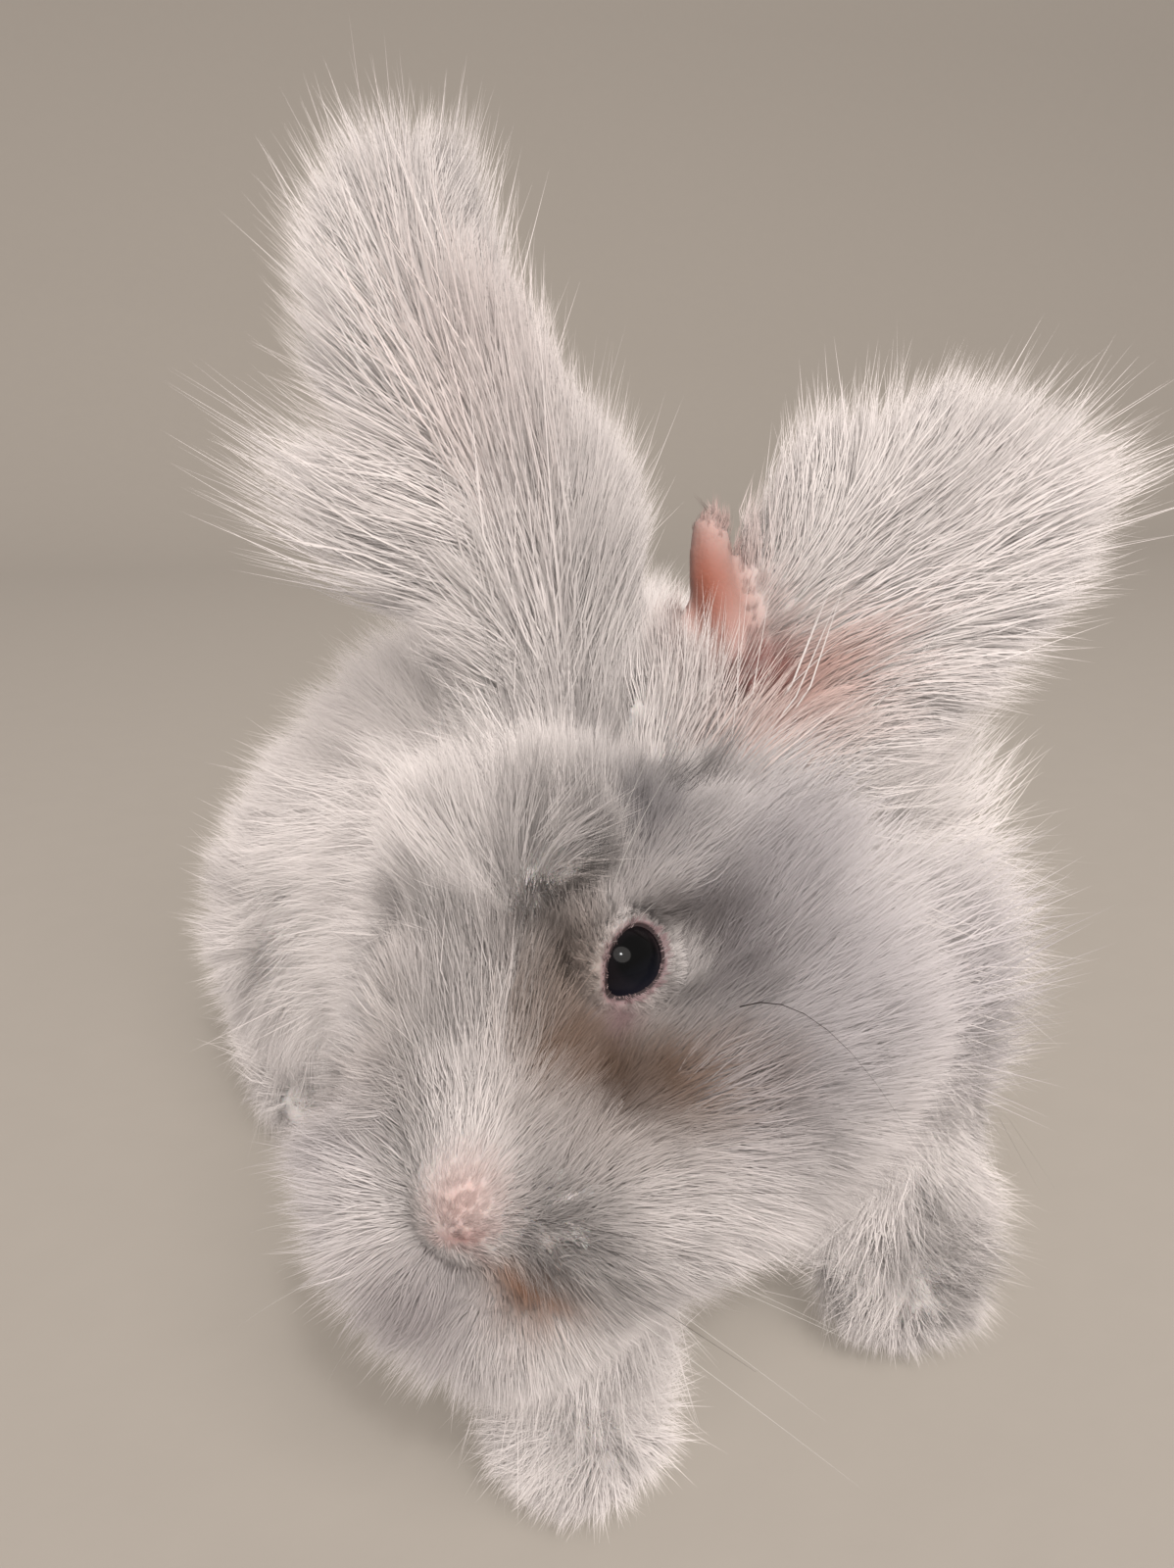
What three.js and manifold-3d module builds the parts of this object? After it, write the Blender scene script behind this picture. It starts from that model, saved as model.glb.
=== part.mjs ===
// A long-haired rabbit at life size, crouched with its head turned to its right, one ear up and one
// laid back. The solids run out to the tips of the coat. Millimetres, +Z up, the body faces -Y and
// the rabbit's left is +X. The origin is on the floor, under the middle of the whole outline.
import * as THREE from "three";
import { mergeVertices } from "three/addons/utils/BufferGeometryUtils.js";
import Module from "manifold-3d";

const wasm = await Module();
wasm.setup();

// Driving dimensions
const GAP = 0.3; // clearance where two parts meet
const ORIGIN_SHIFT = [0, -20, 0]; // brings the middle of the outline over the origin
const NOSE_AT = [-53.8, -121.5, 82.1]; // front of the nose above the floor
const HEAD_YAW = -36; // degrees, the head turned to the rabbit's right
const HEAD_PITCH = 7.5; // degrees, nose down
const HEAD_TILT = -16.6; // degrees, crown leaning to the rabbit's right
const EYE_RADIUS = 8.8;
const EYE_AT = [13.6, 42.4, 14]; // centre of the left eyeball in the head's own frame
const MOUTH_LEVEL = -21; // the lower jaw lies below this height in the head's own frame
const MUZZLE_CUT = { at: [0, 18, 4], way: [0, 0.95, 0.3] }; // the muzzle ends at this plane
const JAW_BACK = 46;
const TASSEL_LEFT = { at: [72, 150, 54], way: [0.65, 0.75, 0.1] };
const TASSEL_RIGHT = { at: [-20, 107, 122], way: [-0.2, 0.3, 0.95] };
const NECK_LEVEL = 92; // the neck lies above this height, in front of the withers
const WITHERS = -30;
const CHEST_BACK = -52;
const RUMP_FRONT = 88;
const REACH = 600; // longer than the animal, for the blocks that part it
const FLOOR = { at: [0, 0, -GAP / 2], way: [0, 0, 1] };

// Colours of the coat and the eyes
const WHITE_WOOL = 0xe6dfdc;
const GREY_WOOL = 0xc9c0bd;
const EAR_WOOL = 0xe8d6d0;
const EYE_DARK = 0x15141b;

const vec = (p) => new THREE.Vector3(...p);
const mirrored = (p) => [-p[0], p[1], p[2]];
const degrees = THREE.MathUtils.degToRad;

function bare(geometry) {
  geometry.deleteAttribute("normal");
  geometry.deleteAttribute("uv");
  return geometry;
}

// A rounded body along a bent spine. Each knot of the spine has a girth: its half-width, its rise
// above the spine and its drop below it. full says how blunt the ends are, from 2 for an ellipsoid
// up, side is the direction of the width, and cup lifts the two edges of a leaf. grow adds to all.
function pod({ spine, girth, full = 2.3, side = [1, 0, 0], cup = 0, around = 14, rows = 8 }, grow = 0) {
  const path = new THREE.CatmullRomCurve3(spine.map(vec), false, "centripetal");
  const sizes = new THREE.CatmullRomCurve3(girth.map(vec), false, "centripetal");
  const shape = bare(new THREE.SphereGeometry(1, around, rows));
  const points = shape.attributes.position;
  for (let i = 0; i < points.count; i++) {
    const along = THREE.MathUtils.clamp(-points.getY(i), -1, 1);
    const ring = Math.hypot(points.getX(i), points.getZ(i));
    const pole = ring < 1e-6;
    const reach = (1 + along) / 2;
    const swell = pole ? 0 : (1 - Math.abs(along) ** full) ** (1 / full);
    const across = pole ? 0 : points.getX(i) / ring;
    const lift = pole ? 0 : -points.getZ(i) / ring;
    const size = sizes.getPoint(reach);
    const tangent = path.getTangent(reach);
    const width = vec(side).addScaledVector(tangent, -vec(side).dot(tangent)).normalize();
    const up = new THREE.Vector3().crossVectors(width, tangent);
    const height = (lift > 0 ? size.y : size.z) + grow;
    const p = path.getPoint(reach);
    p.addScaledVector(width, (size.x + grow) * swell * across);
    p.addScaledVector(up, height * swell * lift + cup * swell * across * across);
    p.addScaledVector(tangent, grow * along);
    points.setXYZ(i, p.x, p.y, p.z);
  }
  return mergeVertices(shape, 1e-4);
}

// An egg-shaped body with three half sizes, the long axis along Y.
function egg({ at, size, around = 12, rows = 8 }, grow = 0) {
  const shape = bare(new THREE.SphereGeometry(1, around, rows));
  shape.rotateX(Math.PI / 2);
  shape.scale(...size.map((half) => half + grow));
  shape.translate(...at);
  return mergeVertices(shape, 1e-4);
}

// A mass blended out of overlapping egg-shaped lobes: from its centre, each direction runs to where
// the lobes together stop counting as inside. The poles lie along Y and grow adds to each direction.
function mass({ centre, lobes, soft = 9, around, rows }, grow = 0) {
  const shape = bare(new THREE.SphereGeometry(1, around, rows));
  shape.rotateX(Math.PI / 2);
  const points = shape.attributes.position;
  const middle = vec(centre);
  const depth = (p, { at, size }) => Math.hypot(...size.map((half, i) => (p.getComponent(i) - at[i]) / half));
  const inside = (p) => lobes.reduce((sum, lobe) => sum + Math.exp(soft * (1 - depth(p, lobe))), 0) > 1;
  for (let i = 0; i < points.count; i++) {
    const way = new THREE.Vector3().fromBufferAttribute(points, i);
    let near = 0;
    let far = REACH;
    while (far - near > 0.01) {
      const half = (near + far) / 2;
      if (inside(middle.clone().addScaledVector(way, half))) near = half;
      else far = half;
    }
    const p = middle.clone().addScaledVector(way, near + grow);
    points.setXYZ(i, p.x, p.y, p.z);
  }
  return mergeVertices(shape, 1e-3);
}

function solid(geometry) {
  const mesh = new wasm.Mesh({
    numProp: 3,
    vertProperties: geometry.attributes.position.array,
    triVerts: new Uint32Array(geometry.index.array),
  });
  return new wasm.Manifold(mesh);
}

const joined = (...geometries) => geometries.map(solid).reduce((sum, one) => sum.add(one));
const without = (body, ...cutters) => cutters.reduce((rest, cutter) => rest.subtract(cutter), body);

// What of a body lies past a plane, along the plane's way, from half a gap beyond it.
function past(body, { at, way }) {
  const block = bare(new THREE.BoxGeometry(2 * REACH, 2 * REACH, REACH));
  block.translate(0, 0, (REACH + GAP) / 2);
  block.applyQuaternion(new THREE.Quaternion().setFromUnitVectors(vec([0, 0, 1]), vec(way).normalize()));
  block.translate(...at);
  return body.intersect(solid(mergeVertices(block, 1e-4)));
}

// The largest of a body's separate pieces, without the slivers that a cut leaves beside it.
const main = (body) => body.decompose().reduce((best, one) => (one.volume() > best.volume() ? one : best));
const short = (body, { at, way }) => past(body, { at, way: way.map((step) => -step) });
const behind = (level) => ({ at: [0, level, 0], way: [0, 1, 0] });
const above = (level) => ({ at: [0, 0, level], way: [0, 0, 1] });

// Head, in its own frame: the nose at the origin, the face towards -Y, the crown towards +Z
const CHEEK = { at: [28, 66, -10], size: [32, 37, 31] };
const HEAD = {
  centre: [0, 50, 0],
  lobes: [
    { at: [5, 76, 4], size: [45, 39, 34] },
    { at: [0, 30, -2], size: [22, 31, 21] },
    { at: [-3, 50, 34], size: [26, 27, 24] },
    { at: [-8, 14, -26], size: [26, 21, 17] },
    { at: [15, 14, -10], size: [19, 18, 18] },
    { at: [-18, 15, -14], size: [24, 22, 25] },
    { at: [24, 40, -18], size: [22, 26, 18] },
    { at: [-20, 44, 20], size: [22, 25, 22] },
    { at: [-28, 38, -6], size: [26, 30, 26] },
    CHEEK,
    { ...CHEEK, at: mirrored(CHEEK.at) },
  ],
  around: 24,
  rows: 17,
};
const EYEBALL = { at: EYE_AT, size: [EYE_RADIUS, EYE_RADIUS, EYE_RADIUS], around: 12, rows: 8 };
// The short-haired hollow that opens from each eye outwards and forwards
const EYE_HOLLOW = {
  spine: [[18, 41, 14.5], [35, 33, 18.5], [62, 19, 25]],
  girth: [[8, 8, 8], [12, 12, 12], [17, 16, 16]],
  full: 4,
  side: [0, 1, 0],
  around: 12,
  rows: 6,
};

// Ears, in the head's own frame
const EAR_LEFT = {
  spine: [[17, 80, 28], [36, 106, 46], [56, 134, 52], [76, 156, 55], [94, 174, 57]],
  girth: [[22, 8, 8], [36, 7, 10], [31, 7, 12], [24, 8, 12], [10, 6, 8]],
  full: 2.6,
  side: [0.2, -0.2, -0.95],
  cup: 8,
};
const EAR_RIGHT = {
  spine: [[-10, 82, 30], [-7, 97, 74], [-18, 104, 108], [-25, 112, 136], [-9, 130, 166]],
  girth: [[16, 9, 9], [28, 8, 12], [21, 8, 12], [22, 8, 11], [15, 6, 8]],
  full: 2.6,
  side: [0.9, 0.4, -0.3],
  cup: 8,
};
const FRINGE_RIGHT = {
  spine: [[-16, 92, 64], [-40, 88, 90], [-68, 82, 109]],
  girth: [[10, 5, 5], [18, 6, 6], [9, 4, 4]],
  side: [0.6, 0, 0.75],
  around: 10,
  rows: 8,
};

// Body, in the frame of the whole animal
const HAUNCH = { at: [62, 58, 54], size: [47, 68, 50] };
const BODY = {
  centre: [0, 20, 75],
  lobes: [
    { at: [14, -33, 78], size: [82, 56, 61] },
    { at: [36, -22, 102], size: [56, 44, 42] },
    { at: [-4, 35, 86], size: [81, 84, 68] },
    { at: [0, 104, 72], size: [76, 62, 63] },
    { at: [0, -72, 66], size: [44, 34, 32] },
    { at: [4, -40, 102], size: [50, 44, 40] },
    HAUNCH,
    { ...HAUNCH, at: mirrored(HAUNCH.at) },
  ],
  around: 26,
  rows: 18,
};
const TAIL = { at: [0, 158, 62], size: [26, 20, 28], around: 12, rows: 8 };
const THIGH = { at: [70, 58, 50], size: [60, 66, 58], around: 12, rows: 8 };
const HIND_FOOT = {
  spine: [[80, 12, 13], [80, 52, 16], [76, 112, 18]],
  girth: [[18, 12, 16], [21, 15, 18], [22, 18, 20]],
  full: 3,
  around: 14,
  rows: 8,
};
const FORELEG = {
  left: {
    spine: [[46, -70, 20], [46, -60, 50], [40, -40, 86]],
    girth: [[20, 19, 19], [23, 21, 21], [30, 26, 26]],
    around: 12,
    rows: 8,
  },
  right: {
    spine: [[-29, -94, 20], [-28, -84, 48], [-24, -60, 84]],
    girth: [[19, 18, 18], [21, 20, 20], [28, 24, 24]],
    around: 12,
    rows: 8,
  },
};
const FOREPAW = {
  left: { at: [46, -70, 21], size: [27, 25, 23] },
  right: { at: [-29, -94, 20], size: [22, 24, 22] },
};
const flipped = (shape) => ({ ...shape, spine: shape.spine.map(mirrored) });
const opposite = (shape) => ({ ...shape, at: mirrored(shape.at) });
const HIND = {
  left: { thigh: THIGH, foot: HIND_FOOT },
  right: { thigh: opposite(THIGH), foot: flipped(HIND_FOOT) },
};

const headPlace = new THREE.Matrix4()
  .makeRotationFromEuler(
    new THREE.Euler(degrees(HEAD_PITCH), degrees(HEAD_TILT), degrees(HEAD_YAW), "ZXY"),
  )
  .setPosition(...NOSE_AT);

function geometryOf(body) {
  const { vertProperties, triVerts } = body.getMesh();
  const geometry = new THREE.BufferGeometry();
  geometry.setAttribute("position", new THREE.BufferAttribute(vertProperties, 3));
  geometry.setIndex(new THREE.BufferAttribute(triVerts, 1));
  return geometry;
}

const placed = (geometry) => solid(geometry.applyMatrix4(headPlace));

function part(name, body, color, roughness = 0.95) {
  const geometry = geometryOf(main(body));
  geometry.computeVertexNormals();
  const mesh = new THREE.Mesh(geometry, new THREE.MeshStandardMaterial({ color, roughness, metalness: 0 }));
  mesh.name = name;
  return mesh;
}

// The head is shaped whole, hollowed round the eyes, then parted into muzzle, lower jaw and head.
function headParts() {
  const whole = without(
    solid(mass(HEAD)),
    joined(pod(EYE_HOLLOW), pod(flipped(EYE_HOLLOW)), egg(EYEBALL, GAP), egg(opposite(EYEBALL), GAP)),
  );
  const upper = past(whole, above(MOUTH_LEVEL));
  const jaw = short(short(whole, above(MOUTH_LEVEL)), behind(JAW_BACK));
  const nape = past(short(whole, above(MOUTH_LEVEL + 2 * GAP)), behind(JAW_BACK));
  return [
    part("muzzle", short(upper, MUZZLE_CUT), WHITE_WOOL),
    part("lower_jaw", jaw, WHITE_WOOL),
    part("head", past(upper, MUZZLE_CUT).add(nape), GREY_WOOL),
    part("eye_left", solid(egg(EYEBALL)), EYE_DARK, 0.08),
    part("eye_right", solid(egg(opposite(EYEBALL))), EYE_DARK, 0.08),
  ];
}

// Each ear is a cupped leaf that stops at the head and is parted from the tassel at its tip. A lock
// of long hair hangs at its edge.
function earParts() {
  const skull = solid(mass(HEAD, GAP));
  const left = without(solid(pod(EAR_LEFT)), skull);
  const right = without(solid(pod(EAR_RIGHT)), skull);
  return [
    part("ear_left", short(left, TASSEL_LEFT), EAR_WOOL),
    part("ear_tassel_left", past(left, TASSEL_LEFT), WHITE_WOOL),
    part("ear_right", short(right, TASSEL_RIGHT), EAR_WOOL),
    part("ear_tassel_right", past(right, TASSEL_RIGHT), WHITE_WOOL),
    part("ear_fringe_right", without(solid(pod(FRINGE_RIGHT)), skull, solid(pod(EAR_RIGHT, GAP))), WHITE_WOOL),
  ];
}

// Each leg stands in a socket of the body and stops at its foot, which is flat on the floor.
function legParts(body, headRoom) {
  return ["left", "right"].flatMap((name) => {
    const { thigh, foot } = HIND[name];
    const foreleg = without(solid(pod(FORELEG[name])), headRoom, solid(egg(FOREPAW[name], GAP)));
    const haunch = without(body.intersect(solid(egg(thigh))), solid(pod(foot, GAP)));
    return [
      part("forepaw_" + name, past(solid(egg(FOREPAW[name])), FLOOR), WHITE_WOOL),
      part("foreleg_" + name, past(foreleg, FLOOR), WHITE_WOOL),
      part("hind_foot_" + name, past(solid(pod(foot)), FLOOR), WHITE_WOOL),
      part("thigh_" + name, past(haunch, FLOOR), WHITE_WOOL),
    ];
  });
}

// Neck and trunk are one mass, parted by level and upright cuts.
function trunkParts(body, headRoom) {
  const legRoom = ["left", "right"].flatMap((name) => [
    pod(FORELEG[name], GAP),
    egg(FOREPAW[name], GAP),
    egg(HIND[name].thigh, GAP),
    pod(HIND[name].foot, GAP),
  ]);
  const whole = without(past(body, FLOOR), headRoom, joined(...legRoom, egg(TAIL, GAP)));
  const front = short(whole, behind(WITHERS));
  const below = short(front, above(NECK_LEVEL));
  const low = short(short(whole, above(NECK_LEVEL)), behind(RUMP_FRONT));
  const high = past(short(whole, behind(RUMP_FRONT)), behind(WITHERS));
  return [
    part("neck", past(front, above(NECK_LEVEL)), WHITE_WOOL),
    part("chest", short(below, behind(CHEST_BACK)), WHITE_WOOL),
    part("trunk", high.add(past(low, behind(CHEST_BACK))), WHITE_WOOL),
    part("rump", past(whole, behind(RUMP_FRONT)), WHITE_WOOL),
    part("tail", solid(egg(TAIL)), WHITE_WOOL),
  ];
}

function build() {
  const body = solid(mass(BODY));
  const headRoom = [mass(HEAD, GAP), pod(EAR_LEFT, GAP), pod(EAR_RIGHT, GAP)]
    .map(placed)
    .reduce((sum, one) => sum.add(one));
  const root = new THREE.Group();
  const head = new THREE.Group();
  headPlace.decompose(head.position, head.quaternion, head.scale);
  head.add(...headParts(), ...earParts());
  root.add(head, ...trunkParts(body, headRoom), ...legParts(body, headRoom));
  root.position.set(...ORIGIN_SHIFT);
  return root;
}

export default build();
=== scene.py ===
"""A long-haired angora rabbit at life size, still and crouched, with its skin, coat, eyes and whiskers.

Shapes are worked out in millimetres in the frame of the whole animal, before SHIFT, and turned to metres
when a mesh is made. The head has a frame of its own: nose at the origin, face towards -Y, crown up.
"""
import logging
import math
from dataclasses import dataclass, field
from enum import Enum, IntEnum
from typing import Iterable, Optional, Sequence

import bpy
import numpy as np
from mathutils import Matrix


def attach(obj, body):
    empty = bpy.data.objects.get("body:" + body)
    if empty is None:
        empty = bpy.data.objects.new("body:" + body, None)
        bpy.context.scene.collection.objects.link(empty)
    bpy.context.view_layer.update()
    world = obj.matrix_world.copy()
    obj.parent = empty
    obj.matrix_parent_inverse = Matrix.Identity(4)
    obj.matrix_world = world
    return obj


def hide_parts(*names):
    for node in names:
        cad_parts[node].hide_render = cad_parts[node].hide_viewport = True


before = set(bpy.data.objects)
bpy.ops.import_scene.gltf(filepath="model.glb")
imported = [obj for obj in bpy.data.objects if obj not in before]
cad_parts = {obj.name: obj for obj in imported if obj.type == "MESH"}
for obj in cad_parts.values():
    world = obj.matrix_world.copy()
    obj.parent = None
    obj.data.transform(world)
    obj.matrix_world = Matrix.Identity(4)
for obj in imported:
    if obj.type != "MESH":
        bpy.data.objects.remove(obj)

import openvdb
from mathutils import Euler, Vector
from mathutils.bvhtree import BVHTree
from mathutils.kdtree import KDTree

log = logging.getLogger("angora")
Array = np.ndarray
Triple = tuple[float, float, float]

SHIFT = np.array([0.0, -20.0, 0.0])
MIRROR = np.array([-1, 1, 1])
SEED = 20240
BAKE_MAP = "OFBake"
TONE_MAP = "Markings"
ANYWHERE = 99.0
# Places with short hair in the head's frame: the middle and the half sizes of an egg round each.
NOSE = ((0, 1, -2), (1, 1, 1.1))
MOUTH = ((3, 3, -15.5), (1.3, 1, 0.8))
FOLD = ((26, 95.5, 57), (6.3, 9, 17.5))


def to_linear(code: str) -> Array:
    """Turns an sRGB hex colour such as #F2ECE9 into linear red, green and blue.

    Args:
        code: six hex digits after a hash sign.

    Returns:
        Three linear values from 0 to 1.
    """
    values = np.array([int(code[i : i + 2], 16) / 255 for i in (1, 3, 5)])
    return np.where(values <= 0.04045, values / 12.92, ((values + 0.055) / 1.055) ** 2.4)


def unit(vectors: Array) -> Array:
    """Scales each row to length one."""
    return vectors / np.maximum(np.linalg.norm(vectors, axis=-1, keepdims=True), 1e-9)


def step(low: float, high: float, values: Array) -> Array:
    """Rises smoothly from 0 at low to 1 at high."""
    t = np.clip((values - low) / (high - low), 0.0, 1.0)
    return t * t * (3 - 2 * t)


def mirrored(at: Triple) -> Triple:
    """The same place on the other side of the middle."""
    return (-at[0], at[1], at[2])


def ellipsoid(local: Array, at: Triple, size: Triple) -> Array:
    """How far out places are from an egg's middle: 1 on its surface where size is its half sizes."""
    return np.linalg.norm((local - np.array(at)) / np.array(size), axis=1)


def ring_faces(rings: int, around: int) -> Array:
    """Four-sided faces between rings of points that are numbered ring by ring.

    Args:
        rings: how many rings.
        around: points in each.

    Returns:
        The corners of each face.
    """
    a = np.arange(around)
    b = (a + 1) % around
    belt = np.stack([a, a + around, b + around, b], axis=1)
    return np.vstack([belt + ring * around for ring in range(rings - 1)])


class Tone(Enum):
    """Colours of the animal and the studio, as sRGB hex codes. A few stand for painted shade or a painted
    reflection.
    """

    WOOL = "#FBF2EE"
    # Grey wool: on the cheeks partly the wool's own grey and partly painted shade, elsewhere painted shade
    # alone.
    WOOL_SHADE = "#CDC6C8"
    # A darker grey: real markings below the eyes, and painted shade under the chin and low on the left.
    CHEEK_GREY = "#A59C9C"
    TAUPE = "#7E6656"
    SMUDGE = "#443B39"
    CURL_DARK = "#4E4038"
    # Grey at the base of the ears: partly the wool's own grey, partly painted shade in the hollows there.
    BASE_GREY = "#7E7A7C"
    NOSE_PINK = "#DDB3AA"
    NOSE_DEEP = "#B98078"
    LIP_STAIN = "#B0764E"
    EAR_PINK = "#E7B9AC"
    EAR_ORANGE = "#A4573E"
    # The skin's red in the slit under the left ear's fold, darkened further as painted shade.
    EAR_DEEP = "#7E2B22"
    LID_PINK = "#A08083"
    LID_DARK = "#382A2B"
    PUPIL = "#050506"
    IRIS = "#120E11"
    # A painted reflection of the surroundings, laid on the lower iris.
    IRIS_GLOW = "#4A5068"
    EYE_WHITE = "#6E5A57"
    WHISKER = "#F1ECE6"
    WHISKER_DARK = "#2E2623"
    FLOOR = "#B8B0A6"
    SKY = "#E8E2DE"
    WARM_LIGHT = "#FFF8F3"
    WHITE_LIGHT = "#FFFFFF"

    @property
    def linear(self) -> Array:
        """The colour as linear red, green and blue."""
        return to_linear(self.value)


class Part(IntEnum):
    """Parts of the animal that the coat and the unwrap treat in their own way."""

    HEAD = 0
    BODY = 1
    EAR_LEFT = 2
    EAR_RIGHT = 3
    PAW_LEFT = 4
    PAW_RIGHT = 5
    HIND_LEFT = 6
    HIND_RIGHT = 7
    TAIL = 8


@dataclass(frozen=True)
class HeadPose:
    """Where the head is and how it is turned.

    Args:
        nose: front of the nose in the animal's frame, mm.
        yaw: degrees about Z, positive to the animal's left.
        pitch: degrees about the head's X.
        tilt: degrees about the head's Y.
    """

    nose: Triple = (-53.8, -121.5, 82.1)
    yaw: float = -36.0
    pitch: float = 7.5
    tilt: float = -16.6

    @property
    def axes(self) -> Array:
        """The head's X, Y and Z axes as the columns of a matrix."""
        z, x, y = (math.radians(a) for a in (self.yaw, self.pitch, self.tilt))
        about_z = np.array([[math.cos(z), -math.sin(z), 0], [math.sin(z), math.cos(z), 0], [0, 0, 1]])
        about_x = np.array([[1, 0, 0], [0, math.cos(x), -math.sin(x)], [0, math.sin(x), math.cos(x)]])
        about_y = np.array([[math.cos(y), 0, math.sin(y)], [0, 1, 0], [-math.sin(y), 0, math.cos(y)]])
        return about_z @ about_x @ about_y

    def place(self, points: Array) -> Array:
        """Takes points of the head's frame to the animal's."""
        return np.asarray(points, float) @ self.axes.T + np.array(self.nose)

    def local(self, points: Array) -> Array:
        """Takes points of the animal's frame to the head's."""
        return (points - np.array(self.nose)) @ self.axes

    def turn(self, vectors: Array) -> Array:
        """Takes directions of the head's frame to the animal's."""
        return np.asarray(vectors, float) @ self.axes.T


POSE = HeadPose()


@dataclass(frozen=True)
class Blob:
    """One egg-shaped lobe of flesh.

    Args:
        part: the part that it belongs to.
        at: centre in the animal's frame, mm.
        size: three half sizes along its own axes, mm.
        axes: its own axes as columns.
    """

    part: Part
    at: Array
    size: Array
    axes: Array

    def depth(self, points: Array) -> Array:
        """How far out each point is: 1 on the lobe's own surface."""
        return np.linalg.norm((points - self.at) @ self.axes / self.size, axis=-1)


def lobe(part: Part, at: Triple, size: Triple) -> Blob:
    """A lobe square to the animal's frame."""
    return Blob(part, np.array(at, float), np.array(size, float), np.eye(3))


def head_lobe(at: Triple, size: Triple) -> Blob:
    """A lobe square to the head's frame."""
    return Blob(Part.HEAD, POSE.place(at), np.array(size, float), POSE.axes)


def bent(points: Sequence[Triple], count: int) -> Array:
    """Evenly numbered points on a smooth curve through a few knots.

    Args:
        points: the knots.
        count: how many points to give back.

    Returns:
        An array of count rows.
    """
    knots = np.array(points, float)
    padded = np.vstack([2 * knots[0] - knots[1], knots, 2 * knots[-1] - knots[-2]])
    out = []
    for value in np.linspace(0, len(knots) - 1 - 1e-6, count):
        i = int(value)
        t = value - i
        a, b, c, d = padded[i : i + 4]
        curve = 2 * b + (c - a) * t + (2 * a - 5 * b + 4 * c - d) * t**2 + (3 * b - a - 3 * c + d) * t**3
        out.append(curve / 2)
    return np.array(out)


@dataclass(frozen=True)
class EarShape:
    """The flesh of one ear: a cupped leaf along a spine in the head's frame.

    Args:
        spine: knots from root to tip, mm.
        widths: half width at each knot, mm.
        side: direction of the width in the head's frame.
        cup: how far the edges stand above the middle, mm.
        thick: half thickness, mm.
        count: lobes along the spine.
    """

    spine: tuple[Triple, ...]
    widths: tuple[float, ...]
    side: Triple
    cup: float = 4.0
    thick: float = 2.1
    count: int = 15

    def frames(self, count: int) -> tuple[Array, Array, Array, Array, Array]:
        """Works out the spine.

        Args:
            count: how many places along it.

        Returns:
            Points, tangents, widthways and upward directions, and half widths.
        """
        points = POSE.place(bent(self.spine, count))
        tangents = unit(np.gradient(points, axis=0))
        side = POSE.turn(np.array(self.side))
        across = unit(side - tangents * (tangents @ side)[:, None])
        up = np.cross(across, tangents)
        knots = np.linspace(0, count - 1, len(self.widths))
        return points, tangents, across, up, np.interp(np.arange(count), knots, self.widths)

    def blobs(self, part: Part) -> list[Blob]:
        """The leaf as overlapping flat lobes, five abreast.

        Args:
            part: which ear.

        Returns:
            The lobes.
        """
        points, tangents, across, up, widths = self.frames(self.count)
        stride = np.linalg.norm(points[-1] - points[0]) / self.count
        out = []
        for i in range(self.count):
            axes = np.stack([across[i], tangents[i], up[i]], axis=1)
            for s in (-0.8, -0.4, 0.0, 0.4, 0.8):
                at = points[i] + across[i] * widths[i] * s + up[i] * self.cup * s * s
                size = np.array([0.42 * widths[i] + 1.0, 1.5 * stride, self.thick])
                out.append(Blob(part, at, size, axes))
        return out


EARS = {
    Part.EAR_LEFT: EarShape(
        ((15, 80, 26), (24, 92, 36), (38, 107, 44), (56, 132, 50), (73, 151, 54)),
        (9, 15, 17, 16, 6),
        (0.2, -0.2, -0.95),
    ),
    Part.EAR_RIGHT: EarShape(
        ((-13, 82, 26), (-10, 93, 48), (-9, 98, 74), (-19, 104, 104), (-22, 114, 136)),
        (9, 14, 15, 12, 5),
        (0.9, 0.4, -0.3),
    ),
}


@dataclass(frozen=True)
class Opening:
    """The gap between the lids as seen from the middle of the left eyeball, in the head's frame.

    Args:
        at: middle of the eyeball, mm.
        radius: of the eyeball, mm.
        gaze: the way that the gap faces.
        along: the way from the inner corner to the outer one.
        long_half: half the gap along it, degrees.
        short_half: half the gap across it, degrees.
    """

    at: Triple = (13.6, 42.4, 14.0)
    radius: float = 8.8
    gaze: Triple = (0.849, -0.414, 0.329)
    along: Triple = (0.285, 0.882, 0.375)
    long_half: float = 41.0
    short_half: float = 28.5

    @property
    def axes(self) -> tuple[Array, Array, Array]:
        """The gaze, the way along the gap and the way across it."""
        gaze = unit(np.array(self.gaze))
        along = np.array(self.along)
        along = unit(along - gaze * (along @ gaze))
        return gaze, along, np.cross(gaze, along)

    def rim(self, turn: Array) -> Array:
        """Half angle of the gap at each turn about the gaze, in degrees, drawn out at the inner corner."""
        round_gap = 1 / np.sqrt((np.cos(turn) / self.long_half) ** 2 + (np.sin(turn) / self.short_half) ** 2)
        return round_gap * (1 + 0.17 * np.maximum(0, -np.cos(turn)) ** 20)

    def past(self, local: Array) -> tuple[Array, Array]:
        """How far past the lid's edge places are, for the nearer eye.

        Args:
            local: places in the head's frame, mm.

        Returns:
            Degrees past the edge, and mm outside the eyeball.
        """
        folded = np.concatenate([np.abs(local[..., :1]), local[..., 1:]], axis=-1) - np.array(self.at)
        far = np.linalg.norm(folded, axis=-1)
        ahead, x, y = (folded @ axis for axis in self.axes)
        angle = np.degrees(np.arccos(np.clip(ahead / np.maximum(far, 1e-6), -1, 1)))
        return angle - self.rim(np.arctan2(y, x)), far - self.radius


EYE = Opening()


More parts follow.
